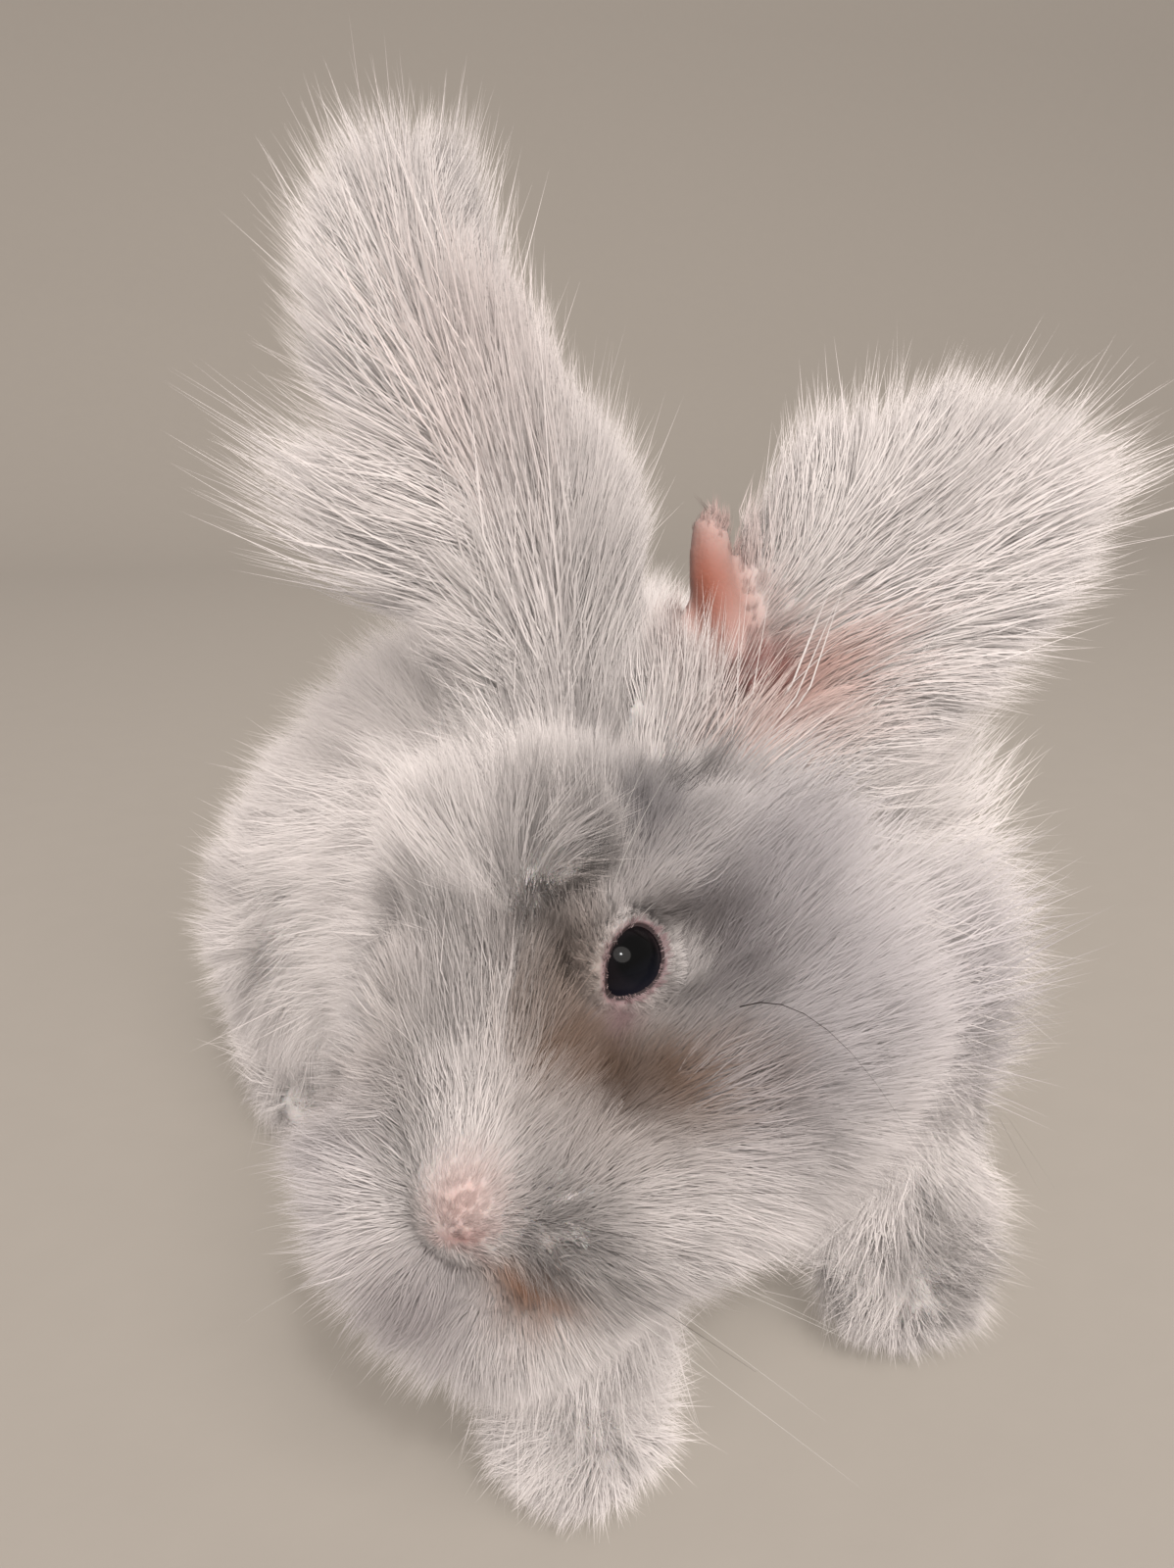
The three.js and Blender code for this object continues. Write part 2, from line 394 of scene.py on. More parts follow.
@dataclass
class Flesh:
    """The animal's body under the coat, as blended lobes.

    Args:
        voxel: spacing of the grid that the surface is drawn from, mm.
        soft: how sharply lobes blend, larger for sharper.
        low: lowest corner of the grid, mm.
        high: highest corner of the grid, mm.
        sole: height of the skin under the feet, mm.
        spread: how far out a lobe still counts, in its own half sizes.
        band: half width of the band of levels that the surface is drawn from.
        socket: room between an eyeball and its socket, mm.
        open: how far past the lids' edge the skin is open in front of the socket, degrees.
    """

    voxel: float = 1.3
    soft: float = 9.0
    low: Triple = (-112.0, -150.0, -2.0)
    high: Triple = (125.0, 172.0, 235.0)
    sole: float = 1.2
    spread: float = 1.7
    band: float = 0.7
    socket: float = 1.0
    open: float = 17.0

    def __post_init__(self) -> None:
        """Lists the lobes."""
        self.blobs = self.head() + self.trunk() + self.limbs() + self.fold()
        for part, ear in EARS.items():
            self.blobs += ear.blobs(part)

    @staticmethod
    def head() -> list[Blob]:
        """Braincase, face, snout, pads, chin, cheeks and brows."""
        middle = [
            ((0, 70, 6), (25, 28, 25)),
            ((0, 44, 0), (17.0, 27, 19)),
            ((0, 22, -3.5), (14.5, 22, 14)),
            ((0, 6, -3), (7.5, 6.5, 7.5)),
            ((-1, 16, -21), (16, 14, 11)),
            ((-2, 53, 18), (20, 24, 15)),
            ((-17, 36, 6), (16, 20, 16)),
            ((0, 55, -18), (21, 28, 18)),
            ((0, 88, -8), (28, 24, 27)),
        ]
        paired = [
            ((10.5, 14.5, -10), (12, 11.5, 11)),
            ((14, 31, -10), (14, 20, 15.5)),
            ((20, 58, -12), (20, 29, 22)),
            ((13, 47, 19), (8, 13, 6)),
        ]
        lobes = [head_lobe(at, size) for at, size in middle]
        for at, size in paired:
            lobes += [head_lobe(at, size), head_lobe(mirrored(at), size)]
        return lobes

    @staticmethod
    def trunk() -> list[Blob]:
        """Chest, shoulders, back, rump, tail and haunches."""
        return [
            lobe(Part.BODY, (8, -30, 74), (61, 42, 44)),
            lobe(Part.BODY, (0, -64, 62), (34, 24, 24)),
            lobe(Part.BODY, (0, -48, 90), (36, 34, 28)),
            lobe(Part.BODY, (-3, 35, 78), (62, 72, 52)),
            lobe(Part.BODY, (0, 98, 66), (58, 50, 48)),
            lobe(Part.TAIL, (0, 152, 62), (10, 12, 13)),
            lobe(Part.BODY, (-60, 56, 48), (34, 52, 38)),
            lobe(Part.BODY, (60, 56, 48), (34, 52, 38)),
        ]

    @staticmethod
    def fold() -> list[Blob]:
        """The bare edge of the left ear, folded over at its root."""
        knots = bent(((28, 93, 42), (27, 96, 52), (26.5, 98, 61), (27.5, 101, 68)), 7)
        sizes = [np.array([r, r, r + 1.5]) for r in np.linspace(5.0, 3.4, len(knots))]
        return [Blob(Part.EAR_LEFT, POSE.place(at), size, POSE.axes) for at, size in zip(knots, sizes)]

    @staticmethod
    def limbs() -> list[Blob]:
        """Forelegs, forepaws and hind feet."""
        return [
            lobe(Part.PAW_LEFT, (46, -62, 44), (13, 14, 34)),
            lobe(Part.PAW_LEFT, (46, -69.5, 14), (15, 14, 11.5)),
            lobe(Part.PAW_RIGHT, (-28, -82, 42), (12, 13, 32)),
            lobe(Part.PAW_RIGHT, (-29, -93.5, 14), (12, 13.5, 11.5)),
            lobe(Part.HIND_LEFT, (79, 60, 13), (13, 46, 11)),
            lobe(Part.HIND_RIGHT, (-79, 60, 13), (13, 46, 11)),
        ]

    def parts(self, points: Array) -> Array:
        """Finds the part that weighs most at each point.

        Args:
            points: places in the animal's frame, mm.

        Returns:
            The number of a part for each.
        """
        weights = np.zeros((len(Part), len(points)))
        for blob in self.blobs:
            near = np.linalg.norm(points - blob.at, axis=1) < 2.0 * blob.size.max()
            weights[blob.part, near] += np.exp(self.soft * (1 - blob.depth(points[near])))
        return weights.argmax(axis=0)

    def block(self, first: Array, last: Array) -> tuple[tuple[slice, ...], Array]:
        """A box of the grid.

        Args:
            first: number of its lowest point along each axis.
            last: number past its highest point.

        Returns:
            Its slices of the grid and the places of its points, mm.
        """
        axes = [self.low[i] + self.voxel * np.arange(first[i], last[i]) for i in range(3)]
        slices = tuple(slice(a, b) for a, b in zip(first, last))
        return slices, np.stack(np.meshgrid(*axes, indexing="ij"), axis=-1)

    def shell(self) -> tuple[Array, Array]:
        """The surface where the lobes together stop, hollowed for the eyeballs.

        Returns:
            Vertices in the animal's frame and the corners of each four-sided face.
        """
        low = np.array(self.low)
        shape = np.ceil((np.array(self.high) - low) / self.voxel).astype(int)
        total = np.zeros(shape, np.float32)
        for blob in self.blobs:
            reach = np.abs(blob.axes) @ blob.size * self.spread + self.voxel
            first = np.clip(((blob.at - reach - low) / self.voxel).astype(int), 0, shape)
            last = np.clip(((blob.at + reach - low) / self.voxel).astype(int) + 1, 0, shape)
            block, points = self.block(first, last)
            total[block] += np.exp(self.soft * (1 - blob.depth(points))).astype(np.float32)
        level = -np.log(np.maximum(total, 1e-4)) / self.soft
        for at in (EYE.at, mirrored(EYE.at)):
            # A ball-shaped socket, opened by a cone in front that the lids close again.
            centre = POSE.place(at)
            ends = (((centre + side - low) / self.voxel).astype(int) for side in (-20, 20))
            block, points = self.block(*ends)
            cover = np.linalg.norm(points - centre, axis=-1) / (EYE.radius + self.socket) - 1
            past, _ = EYE.past(POSE.local(points))
            own = POSE.local(points)[..., 0] * at[0] > 0
            cone = np.where(own, np.radians(self.open - past) * 1.2, -1)
            level[block] = np.maximum(np.minimum(level[block], cover), cone)
        grid = openvdb.FloatGrid(self.band)
        grid.copyFromArray(np.clip(level, -self.band, self.band).astype(np.float32))
        points, _, quads = grid.convertToPolygons(0.0, 0.0)
        points = points * self.voxel + low
        points[:, 2] = np.maximum(points[:, 2], self.sole)
        return points, quads


@dataclass(frozen=True)
class Patch:
    """A soft-edged patch of colour in the head's frame: mostly a marking, in a few places painted shade.

    Args:
        at: its middle, mm.
        size: how far it reaches along each axis, mm.
        tone: its colour.
        strength: how much of the colour shows in the middle.
        both: whether the other side of the head has it too.
        deep: whether it lies on the skin itself instead of showing on the tips above it.
    """

    at: Triple
    size: Triple
    tone: Tone
    strength: float
    both: bool = True
    deep: bool = False


def patches(tone: Tone, *rows: tuple[Triple, Triple, float], **more: bool) -> tuple[Patch, ...]:
    """Patches of one colour, from the middle, size and strength of each."""
    return tuple(Patch(at, size, tone, strength, **more) for at, size, strength in rows)


class Markings:
    """The colour of skin and coat at any place on the animal: its markings, with painted shade in a few
    places.
    """

    middle: Triple = (0, 45, 0)
    far_side: float = 0.20
    face: tuple[Patch, ...] = (
        # Grey on both cheeks: partly the wool's own grey, partly painted shade.
        *patches(Tone.WOOL_SHADE, ((46, 38, 0), (17, 20, 16), 0.80), ((40, 70, 19), (20, 20, 16), 0.92)),
        *patches(Tone.CHEEK_GREY, ((41, 32, -6), (12, 10, 8), 0.45), ((24, 48, 32), (9, 9, 5), 0.35)),
        *patches(
            Tone.TAUPE,
            ((19, 37, 34), (5, 6, 6), 0.35),
            ((14.2, 32, 26), (6, 6, 7), 0.55),
            ((11, 28, 18), (6.5, 6.5, 7.5), 0.68),
            ((14.5, 23.5, 13), (7.5, 6.5, 6.5), 0.92),
            ((20, 24, 7.5), (9, 7, 6.5), 0.95),
            ((27, 28, 3.5), (9, 8, 6.5), 0.92),
            ((33, 30, 1), (8, 8, 6), 0.70),
        ),
        *patches(Tone.CURL_DARK, ((9, 27, 19.5), (2.2, 3, 3), 0.45)),
        *patches(
            Tone.SMUDGE,
            ((28, 46.5, 17), (7, 7, 6), 0.97),
            ((33.5, 51, 17), (12, 11, 8), 0.98),
            ((32, 46, 12), (8, 9, 6), 0.92),
        ),
        # Grey at the ear bases and between them: partly the wool's own grey, partly painted shade in the
        # hollows under the ears.
        *patches(
            Tone.BASE_GREY,
            ((20.5, 59, 37.5), (8, 7, 6), 0.92),
            ((23, 66, 33.5), (9, 7, 6), 0.88),
            ((6, 79, 50), (8, 5, 5), 0.30),
        ),
        *patches(Tone.TAUPE, ((18, 34, 17), (8, 7, 10), 0.50), deep=True),
        *patches(
            Tone.SMUDGE, ((17, 50, 18), (7, 6, 9), 0.45), ((27.5, 49, 17.5), (8, 7, 6), 0.92), deep=True
        ),
        *patches(Tone.WOOL, ((24.5, 47, 11), (5, 5, 7), 0.95), deep=True),
        *patches(Tone.LID_PINK, ((17.5, 33, 9.5), (3, 4, 3.4), 0.80), deep=True),
        # Dark red in the slit under the left ear's fold: the skin's red with painted shade in the slit.
        *patches(Tone.EAR_DEEP, ((31.5, 92, 43), (5.5, 10, 8), 0.90), both=False, deep=True),
        *patches(Tone.NOSE_PINK, ((3.5, -1, 1.5), (7, 6, 6), 0.75), both=False),
        *patches(
            Tone.NOSE_DEEP,
            ((2, -2, -3.6), (5.5, 5, 1.7), 0.70),
            ((3.5, -1, -8), (1.3, 5, 3.5), 0.35),
            both=False,
        ),
        *patches(Tone.LIP_STAIN, ((8.8, -3, -17), (8, 8, 6), 0.97), both=False),
        # Painted shade under the chin and low on the right side of the face.
        *patches(Tone.CHEEK_GREY, ((-14, -3, -18), (14, 14, 12), 0.85), both=False),
        *patches(Tone.WOOL_SHADE, ((-30, 8, 3), (12, 14, 14), 0.60), both=False),
        # Painted shade low on the left towards the shoulder, and on the outer edge of the left cheek.
        *patches(Tone.WOOL_SHADE, ((57, 98, -26), (26, 26, 30), 0.75), both=False),
        *patches(Tone.CHEEK_GREY, ((50, 102, -65), (26, 26, 26), 0.55), both=False),
        *patches(Tone.WOOL_SHADE, ((56, 58, 2), (16, 18, 20), 0.70), both=False),
    )
    ears: tuple[Patch, ...] = (
        *patches(Tone.EAR_PINK, ((40, 98, 39), (12, 11, 9), 0.85), both=False),
        *patches(Tone.EAR_ORANGE, ((27, 96, 60), (8, 13, 19), 0.98), both=False),
        # The slit under the fold: the skin's red with painted shade in it.
        *patches(Tone.EAR_DEEP, ((31.5, 94, 41.5), (5.5, 14, 7.5), 0.97), both=False),
        *patches(
            Tone.EAR_PINK,
            ((30, 88, 33), (8, 12, 7), 0.60),
            ((-8, 100, 96), (9, 12, 26), 0.20),
            both=False,
        ),
    )
    lids: tuple[tuple[float, Tone, float], ...] = ((9.0, Tone.LID_PINK, 0.75), (4.0, Tone.LID_DARK, 1.0))

    @classmethod
    def colour(cls, points: Array, parts: Array) -> Array:
        """Linear colours for places on the animal.

        Args:
            points: places in the animal's frame, mm.
            parts: the number of the part that each belongs to.

        Returns:
            One row of red, green and blue for each place.
        """
        colours = np.tile(Tone.WOOL.linear, (len(points), 1))
        head, ears = parts == Part.HEAD, np.isin(parts, list(EARS))
        local = POSE.local(points)
        ways = unit(local - np.array(cls.middle))
        for patch, own in [(patch, head) for patch in cls.face] + [(patch, ears) for patch in cls.ears]:
            for at, share in ((patch.at, 1.0), (mirrored(patch.at), cls.far_side * patch.both)):
                offset = local - np.array(at)
                if own is head and not patch.deep:
                    spoke = np.array(at) - np.array(cls.middle)
                    offset = ways * np.linalg.norm(spoke) - spoke
                reach = ((offset / np.array(patch.size)) ** 2).sum(axis=1)
                weight = (own * share * patch.strength * np.exp(-reach))[:, None]
                colours = colours * (1 - weight) + patch.tone.linear * weight
        past, above = EYE.past(local)
        near = head * (above < 3.5)
        for last, tone, most in cls.lids:
            weight = (near * most * (1 - step(0.4 * last, last, past)))[:, None]
            colours = colours * (1 - weight) + tone.linear * weight
        return colours


class Outline:
    """The coat's outer shape: the solids of flesh joined over their cuts and smoothed."""

    voxel: float = 0.0028
    rounds: int = 14
    farthest: float = 0.12

    def __init__(self, nodes: Iterable[bpy.types.Object]) -> None:
        """Joins the nodes' meshes and keeps a search tree of the result.

        Args:
            nodes: the CAD nodes that the coat stands for.
        """
        points: list[Sequence[float]] = []
        corners: list[list[int]] = []
        for node in nodes:
            base = len(points)
            points += [vertex.co[:] for vertex in node.data.vertices]
            corners += [[base + i for i in face.vertices] for face in node.data.polygons]
        joined = bpy.data.meshes.new("outline")
        joined.from_pydata(points, [], corners)
        holder = bpy.data.objects.new("outline", joined)
        bpy.context.scene.collection.objects.link(holder)
        remesh = holder.modifiers.new("Remesh", "REMESH")
        remesh.mode = "VOXEL"
        remesh.voxel_size = self.voxel
        smooth = holder.modifiers.new("Smooth", "SMOOTH")
        smooth.factor = 0.5
        smooth.iterations = self.rounds
        self.tree = BVHTree.FromObject(holder, bpy.context.evaluated_depsgraph_get())
        bpy.data.objects.remove(holder)
        bpy.data.meshes.remove(joined)

    def distance(self, points: Array, ways: Array, missing: float = 3.0) -> Array:
        """How far each point is from the coat's outer shape along its way, in mm.

        Args:
            points: places in the animal's frame, mm.
            ways: unit directions.
            missing: what to give where nothing is met.

        Returns:
            One distance for each point.
        """
        starts = (points + SHIFT) / 1000
        out = np.full(len(points), missing)
        for i, (start, way) in enumerate(zip(starts.tolist(), ways.tolist())):
            hit = self.tree.ray_cast(start, way, self.farthest)
            if hit[3] is not None:
                out[i] = hit[3] * 1000
        return out


@dataclass(frozen=True)
class Nap:
    """How the coat of one part lies and how long it may be.

    Args:
        lift: how far tufts stand off the skin, from 0 for flat to 1 for upright.
        longest: the longest tuft, mm.
        tufts: how many tufts, closer together where they are short.
        curl: sideways wander as a share of the length.
        droop: how far the tips hang, as a share of the length.
        lock: how far tips are drawn together into locks, from 0 to 1.
        swirl: how strongly the coat turns from one patch to the next.
        slot: a name for the part's kind of wool; the feet's name turns their coat downwards.
        shown: how far along a tuft its colour is read.
    """

    lift: float
    longest: float
    tufts: int
    curl: float
    droop: float = 0.04
    lock: float = 0.35
    swirl: float = 0.07
    slot: str = "wool"
    shown: float = 0.7


PAW = Nap(0.68, 22, 2600, 0.20, 0.0, 0.2, 0.22, slot="foot_fur")
HIND = Nap(0.75, 20, 1300, 0.20, 0.0, 0.2, 0.25, slot="foot_fur")
NAPS = {
    Part.HEAD: Nap(0.52, 52, 18000, 0.09, slot="face_fur"),
    Part.BODY: Nap(0.50, 54, 15500, 0.11, 0.05, 0.45, 0.16),
    Part.EAR_LEFT: Nap(0.16, 56, 3300, 0.07, 0.06, swirl=0.10, slot="ear_fur", shown=0.3),
    Part.EAR_RIGHT: Nap(0.16, 58, 3700, 0.07, 0.02, swirl=0.10, slot="ear_fur", shown=0.3),
    Part.PAW_LEFT: PAW,
    Part.PAW_RIGHT: PAW,
    Part.HIND_LEFT: HIND,
    Part.HIND_RIGHT: HIND,
    Part.TAIL: Nap(0.85, 26, 800, 0.15),
}

# A blade is a four-sided face and a triangle out to its tip. Each tuft is a small patch of the bake map.
BLADE_CORNERS = np.array([0, 1, 3, 2, 2, 3, 4])
BLADE_SIDES = np.array([4, 3])
BLADE_TRIANGLES = 3
BLADE_PLACES = np.array([(-1, -1), (1, -1), (-1, 0), (1, 0), (0, 1)]) * np.array([0.0012, 0.0015])


@dataclass(frozen=True)
class Strand:
    """How the blades of a tuft are drawn.

    Args:
        blades: how many blades make a tuft.
        knee: where a blade's middle corners are, from 0 at the root to 1 at the tip.
        narrow: its width there, as a share of its width at the root.
        base_mm: width of a very short blade.
        more: width gained for each mm of length.
    """

    blades: int
    knee: float
    narrow: float
    base_mm: float
    more: float


DOWN = Strand(9, 0.52, 0.8, 0.10, 0.0065)
WAVY = Strand(10, 0.50, 0.85, 0.09, 0.0049)


@dataclass
class Hide:
    """The skin's surface with what grows on it, point by point.

    Args:
        points: vertices in the animal's frame, mm.
        corners: vertex numbers of each face, four sided.
        parts: the part of each vertex.
        normals: outward directions.
        ways: the direction of the coat.
        reach: the coat's length, mm.
        least: shortest tuft away from the places with short hair, mm.
        stubble: shortest tuft of all, mm.
        bare: length that stands for bare skin, mm.
        chest: longest tuft on the chest, mm.
        ear_more: how far the ears' tufts may pass the outline, as a share of their length.
    """

    points: Array
    corners: Array
    parts: Array
    normals: Array = field(init=False)
    ways: Array = field(init=False)
    reach: Array = field(init=False)
    least: float = 6.0
    stubble: float = 1.6
    bare: float = 0.2
    chest: float = 20.0
    ear_more: float = 1.10

    def __post_init__(self) -> None:
        """Works out the normals."""
        p = self.points[self.corners]
        face = np.cross(p[:, 2] - p[:, 0], p[:, 3] - p[:, 1])
        total = np.zeros_like(self.points)
        for k in range(4):
            np.add.at(total, self.corners[:, k], face)
        self.normals = unit(total)

    def smooth(self, values: Array, rounds: int) -> Array:
        """Evens values out between neighbouring vertices.

        Args:
            values: one for each vertex.
            rounds: how many times.

        Returns:
            The evened values.
        """
        a = np.concatenate([self.corners[:, k] for k in range(4)])
        b = np.concatenate([self.corners[:, (k + 1) % 4] for k in range(4)])
        degree = np.bincount(a, minlength=len(values)) + np.bincount(b, minlength=len(values))
        for _ in range(rounds):
            total = np.bincount(a, values[b], len(values)) + np.bincount(b, values[a], len(values))
            values = 0.5 * values + 0.5 * total / np.maximum(degree, 1)
        return values

    def nap(self, size: str) -> Array:
        """One field of each vertex's nap."""
        return np.array([getattr(NAPS[part], size) for part in Part])[self.parts]

    def swirl(self) -> Array:
        """Smooth random directions that turn the coat in patches about a fingertip wide."""
        rand = np.random.default_rng(SEED + 1)
        loose = [self.smooth(rand.normal(0, 1, len(self.points)), 36) for _ in range(3)]
        ways = np.stack([one / max(one.std(), 1e-9) for one in loose], axis=1)
        return np.clip(ways, -2, 2)

    def flow(self) -> Array:
        """The way the coat is combed before it lifts: back from the nose, then down and back.

        Returns:
            A direction along the skin for each vertex.
        """
        local = POSE.local(self.points)
        flow = np.zeros_like(self.points)
        head = self.parts == Part.HEAD
        flow[head] = POSE.turn(unit(local[head] - np.array([0, -14, -2])))
        body = self.parts == Part.BODY
        flow[body] = unit(np.array([0.0, 1.0, -0.55]))
        flow[body & (self.normals[:, 1] < -0.35)] = unit(np.array([0.0, -0.3, -1.0]))
        flow[self.nap("slot") == "foot_fur"] = np.array([0.0, -0.15, -1.0])
        flow[self.parts == Part.TAIL] = unit(np.array([0.0, 0.6, 0.8]))
        for part, ear in EARS.items():
            # Along the spine in the middle, and fanned out towards both edges.
            mine = np.flatnonzero(self.parts == part)
            spine, tangents, across, _, widths = ear.frames(30)
            near = ((self.points[mine, None] - spine[None]) ** 2).sum(axis=2).argmin(axis=1)
            out = ((self.points[mine] - spine[near]) * across[near]).sum(axis=1) / widths[near]
            flow[mine] = unit(tangents[near] + across[near] * (np.clip(out, -1, 1) * 0.75)[:, None])
        low_edge = (self.parts == Part.EAR_RIGHT) & (local[:, 0] < -10) & (local[:, 2] < 92)
        flow[low_edge] = POSE.turn(unit(np.array([-0.74, -0.16, 0.66])))
        for side in (1, MIRROR):
            # Away from each eye, so that no hair falls over it.
            away = self.points - POSE.place((np.array(EYE.at) + 8 * EYE.axes[0]) * side)
            gap = np.linalg.norm(away, axis=1)
            flow = flow + unit(away) * (1.6 * np.exp(-((gap / 11.0) ** 2)) * head)[:, None]
        along = (flow * self.normals).sum(axis=1, keepdims=True)
        return unit(flow - along * self.normals)

    def comb(self, outline: Outline) -> None:
        """Sets the direction and length of the coat everywhere.

        Args:
            outline: the shape that the tips reach.
        """
        local = POSE.local(self.points)
        head, body = self.parts == Part.HEAD, self.parts == Part.BODY
        ears = np.isin(self.parts, list(EARS))
        past, above = EYE.past(local)
        nose, mouth, fold = (ellipsoid(local, *place) for place in (NOSE, MOUTH, FOLD))
        cheek = head * step(8, 20, local[:, 0]) * step(26, 44, local[:, 1])
        crown = head * step(14, 30, local[:, 2]) * step(85, 60, local[:, 1])
        # Long wool stands off more than short. It is calmer on the left cheek and wilder on the crown, and it
        # lies flat within 26 degrees of the lids and 24 mm of the nose's top.
        deep = self.smooth(np.minimum(outline.distance(self.points, self.normals), 45), 6)
        lift = self.nap("lift") + ~ears * (0.18 - 0.02 * body) * step(6, 17, deep)
        lift = np.minimum(lift, 0.97 - 0.15 * head - 0.27 * cheek)
        top = step(-4, 4, local[:, 2])
        near_nose = step(5, 12, nose) * (1 - top) + step(7, 24, nose) * top
        flat = np.minimum(step(4, 26, past) + step(3, 8, above), near_nose)
        lift = np.where(head, np.minimum(lift, 0.14 + 0.86 * flat), lift)
        wild = (self.nap("swirl") + 0.18 * crown) * (1 - 0.7 * cheek)
        flow = self.flow()
        ways = self.normals * lift[:, None] + flow * (1 - lift)[:, None]
        self.ways = unit(ways + self.swirl() * wild[:, None])
        # Tufts end at the outline. They are short at the eyes, the nose and the mouth, on the fold of the
        # left ear and on the chest.
        aim = np.where(ears[:, None], unit(flow + 0.06 * self.normals), self.ways)
        reach = np.minimum(outline.distance(self.points, aim), self.nap("longest"))
        reach = np.maximum(self.smooth(reach * np.where(ears, self.ear_more, 1.0), 4), self.least)
        # The hair grows longer away from the lids, more slowly on the left, where the stain has to show.
        slope = np.where(local[:, 0] > 0, 0.17, 0.28)
        eye = 1.2 + slope * np.maximum(past - 9, 0) + 1.2 * np.maximum(above - 3, 0)
        x, y, z = self.points.T
        chest = ~head & ~ears & (x > -50) & (x < 45) & (y < -30) & (z < 75)
        for mine, most in (
            (head, eye),
            (head, 1.8 + 1.2 * np.maximum(nose - 6.5, 0)),
            (head, 2.2 + 1.2 * np.maximum(mouth - 4.5, 0)),
            (ears, 1.6 + 17 * np.maximum(fold - 0.95, 0)),
            (chest, self.chest),
        ):
            reach = np.minimum(reach, np.where(mine, most, ANYWHERE))
        self.reach = np.maximum(self.smooth(reach, 2), self.stubble)
        self.reach[ears & (fold < 0.97)] = self.bare


@dataclass(frozen=True)
class Cell:
    """A part's place on the unwrap: its corner and its size, from 0 to 1."""

    left: float
    low: float
    wide: float
    high: float


CELLS = {
    Part.BODY: Cell(0.02, 0.02, 0.56, 0.70),
    Part.HEAD: Cell(0.62, 0.02, 0.36, 0.40),
    Part.EAR_LEFT: Cell(0.62, 0.46, 0.16, 0.26),
    Part.EAR_RIGHT: Cell(0.81, 0.46, 0.16, 0.26),
}
CELLS |= {
    part: Cell(0.02 + 0.19 * i, 0.77, 0.16, 0.20) for i, part in enumerate(list(Part)[Part.PAW_LEFT :])
}


def unwrapped(hide: Hide) -> Array:
    """Unrolls each part about its own long axis into its cell.

    Args:
        hide: the skin.

    Returns:
        The place of each face's four corners on the map.
    """
    own = hide.parts[hide.corners[:, 0]]
    places = np.zeros((len(hide.corners), 4, 2))
    for part, cell in CELLS.items():
        faces = np.flatnonzero(own == part)
        points = hide.points[hide.corners[faces]]
        middle = points.mean(axis=(0, 1))
        if part in EARS:
            _, tangents, across, up, _ = EARS[part].frames(9)
            axes = np.stack([across[4], up[4], tangents[4]])
        elif part is Part.HEAD:
            axes = POSE.axes.T[[0, 2, 1]]
        elif part in (Part.PAW_LEFT, Part.PAW_RIGHT):
            axes = np.eye(3)
        else:
            axes = np.eye(3)[[0, 2, 1]]
        offsets = (points - middle) @ axes.T
        angle = np.arctan2(offsets[..., 0], offsets[..., 1])
        turned = angle - angle[:, :1]
        angle = angle[:, :1] + (turned + math.pi) % (2 * math.pi) - math.pi
        along = offsets[..., 2]
        along = (along - along.min()) / max(float(np.ptp(along)), 1e-6)
        places[faces, :, 0] = cell.left + cell.wide * (angle / (2 * math.pi) + 0.5)
        places[faces, :, 1] = cell.low + cell.high * along
    return places


def build_mesh(
    name: str,
    points: Array,
    faces: Array,
    material: bpy.types.Material,
    colours: Array,
    places: Optional[Array] = None,
    sides: Optional[Array] = None,
) -> bpy.types.Object:
    """Makes an object from arrays, adds it to the scene and lets it ride on the body.

    Args:
        name: the object's name.
        points: vertices in the animal's frame, mm.
        faces: vertex numbers of the faces, one face after the other.
        material: its material.
        colours: linear colour of each vertex.
        places: where each corner lies on the bake map.
        sides: how many corners each face has, where that isn't four.

    Returns:
        The object.
    """
    loops = faces.ravel()
    counts = np.full(len(loops) // 4, 4) if sides is None else sides
    mesh = bpy.data.meshes.new(name)
    mesh.vertices.add(len(points))
    mesh.vertices.foreach_set("co", ((points + SHIFT) / 1000).astype(np.float32).ravel())
    mesh.loops.add(len(loops))
    mesh.loops.foreach_set("vertex_index", loops.astype(np.int32))
    mesh.polygons.add(len(counts))
    starts = np.concatenate([[0], np.cumsum(counts)[:-1]])
    mesh.polygons.foreach_set("loop_start", starts.astype(np.int32))
    mesh.polygons.foreach_set("use_smooth", np.ones(len(counts), bool))
    mesh.update(calc_edges=True)
    if places is not None:
        layer = mesh.uv_layers.new(name=BAKE_MAP)
        layer.uv.foreach_set("vector", places.astype(np.float32).ravel())
    tones = mesh.color_attributes.new(TONE_MAP, "FLOAT_COLOR", "POINT")
    rgba = np.concatenate([colours, np.ones((len(colours), 1))], axis=1)
    tones.data.foreach_set("color", rgba.astype(np.float32).ravel())
    mesh.materials.append(material)
    piece = bpy.data.objects.new(name, mesh)
    bpy.context.scene.collection.objects.link(piece)
    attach(piece, "root")
    return piece


def add_node(tree: bpy.types.NodeTree, kind: str, links: dict, **settings) -> bpy.types.Node:
    """Adds a node, sets it and links into it.

    Args:
        tree: the tree of a material or the world.
        kind: the node's type.
        links: input name or number to the output that feeds it or the value that it takes.
        settings: properties of the node.

    Returns:
        The new node.
    """
    made = tree.nodes.new(kind)
    for key, value in settings.items():
        setattr(made, key, value)
    for key, value in links.items():
        if isinstance(value, bpy.types.NodeSocket):
            tree.links.new(value, made.inputs[key])
        else:
            made.inputs[key].default_value = value
    return made


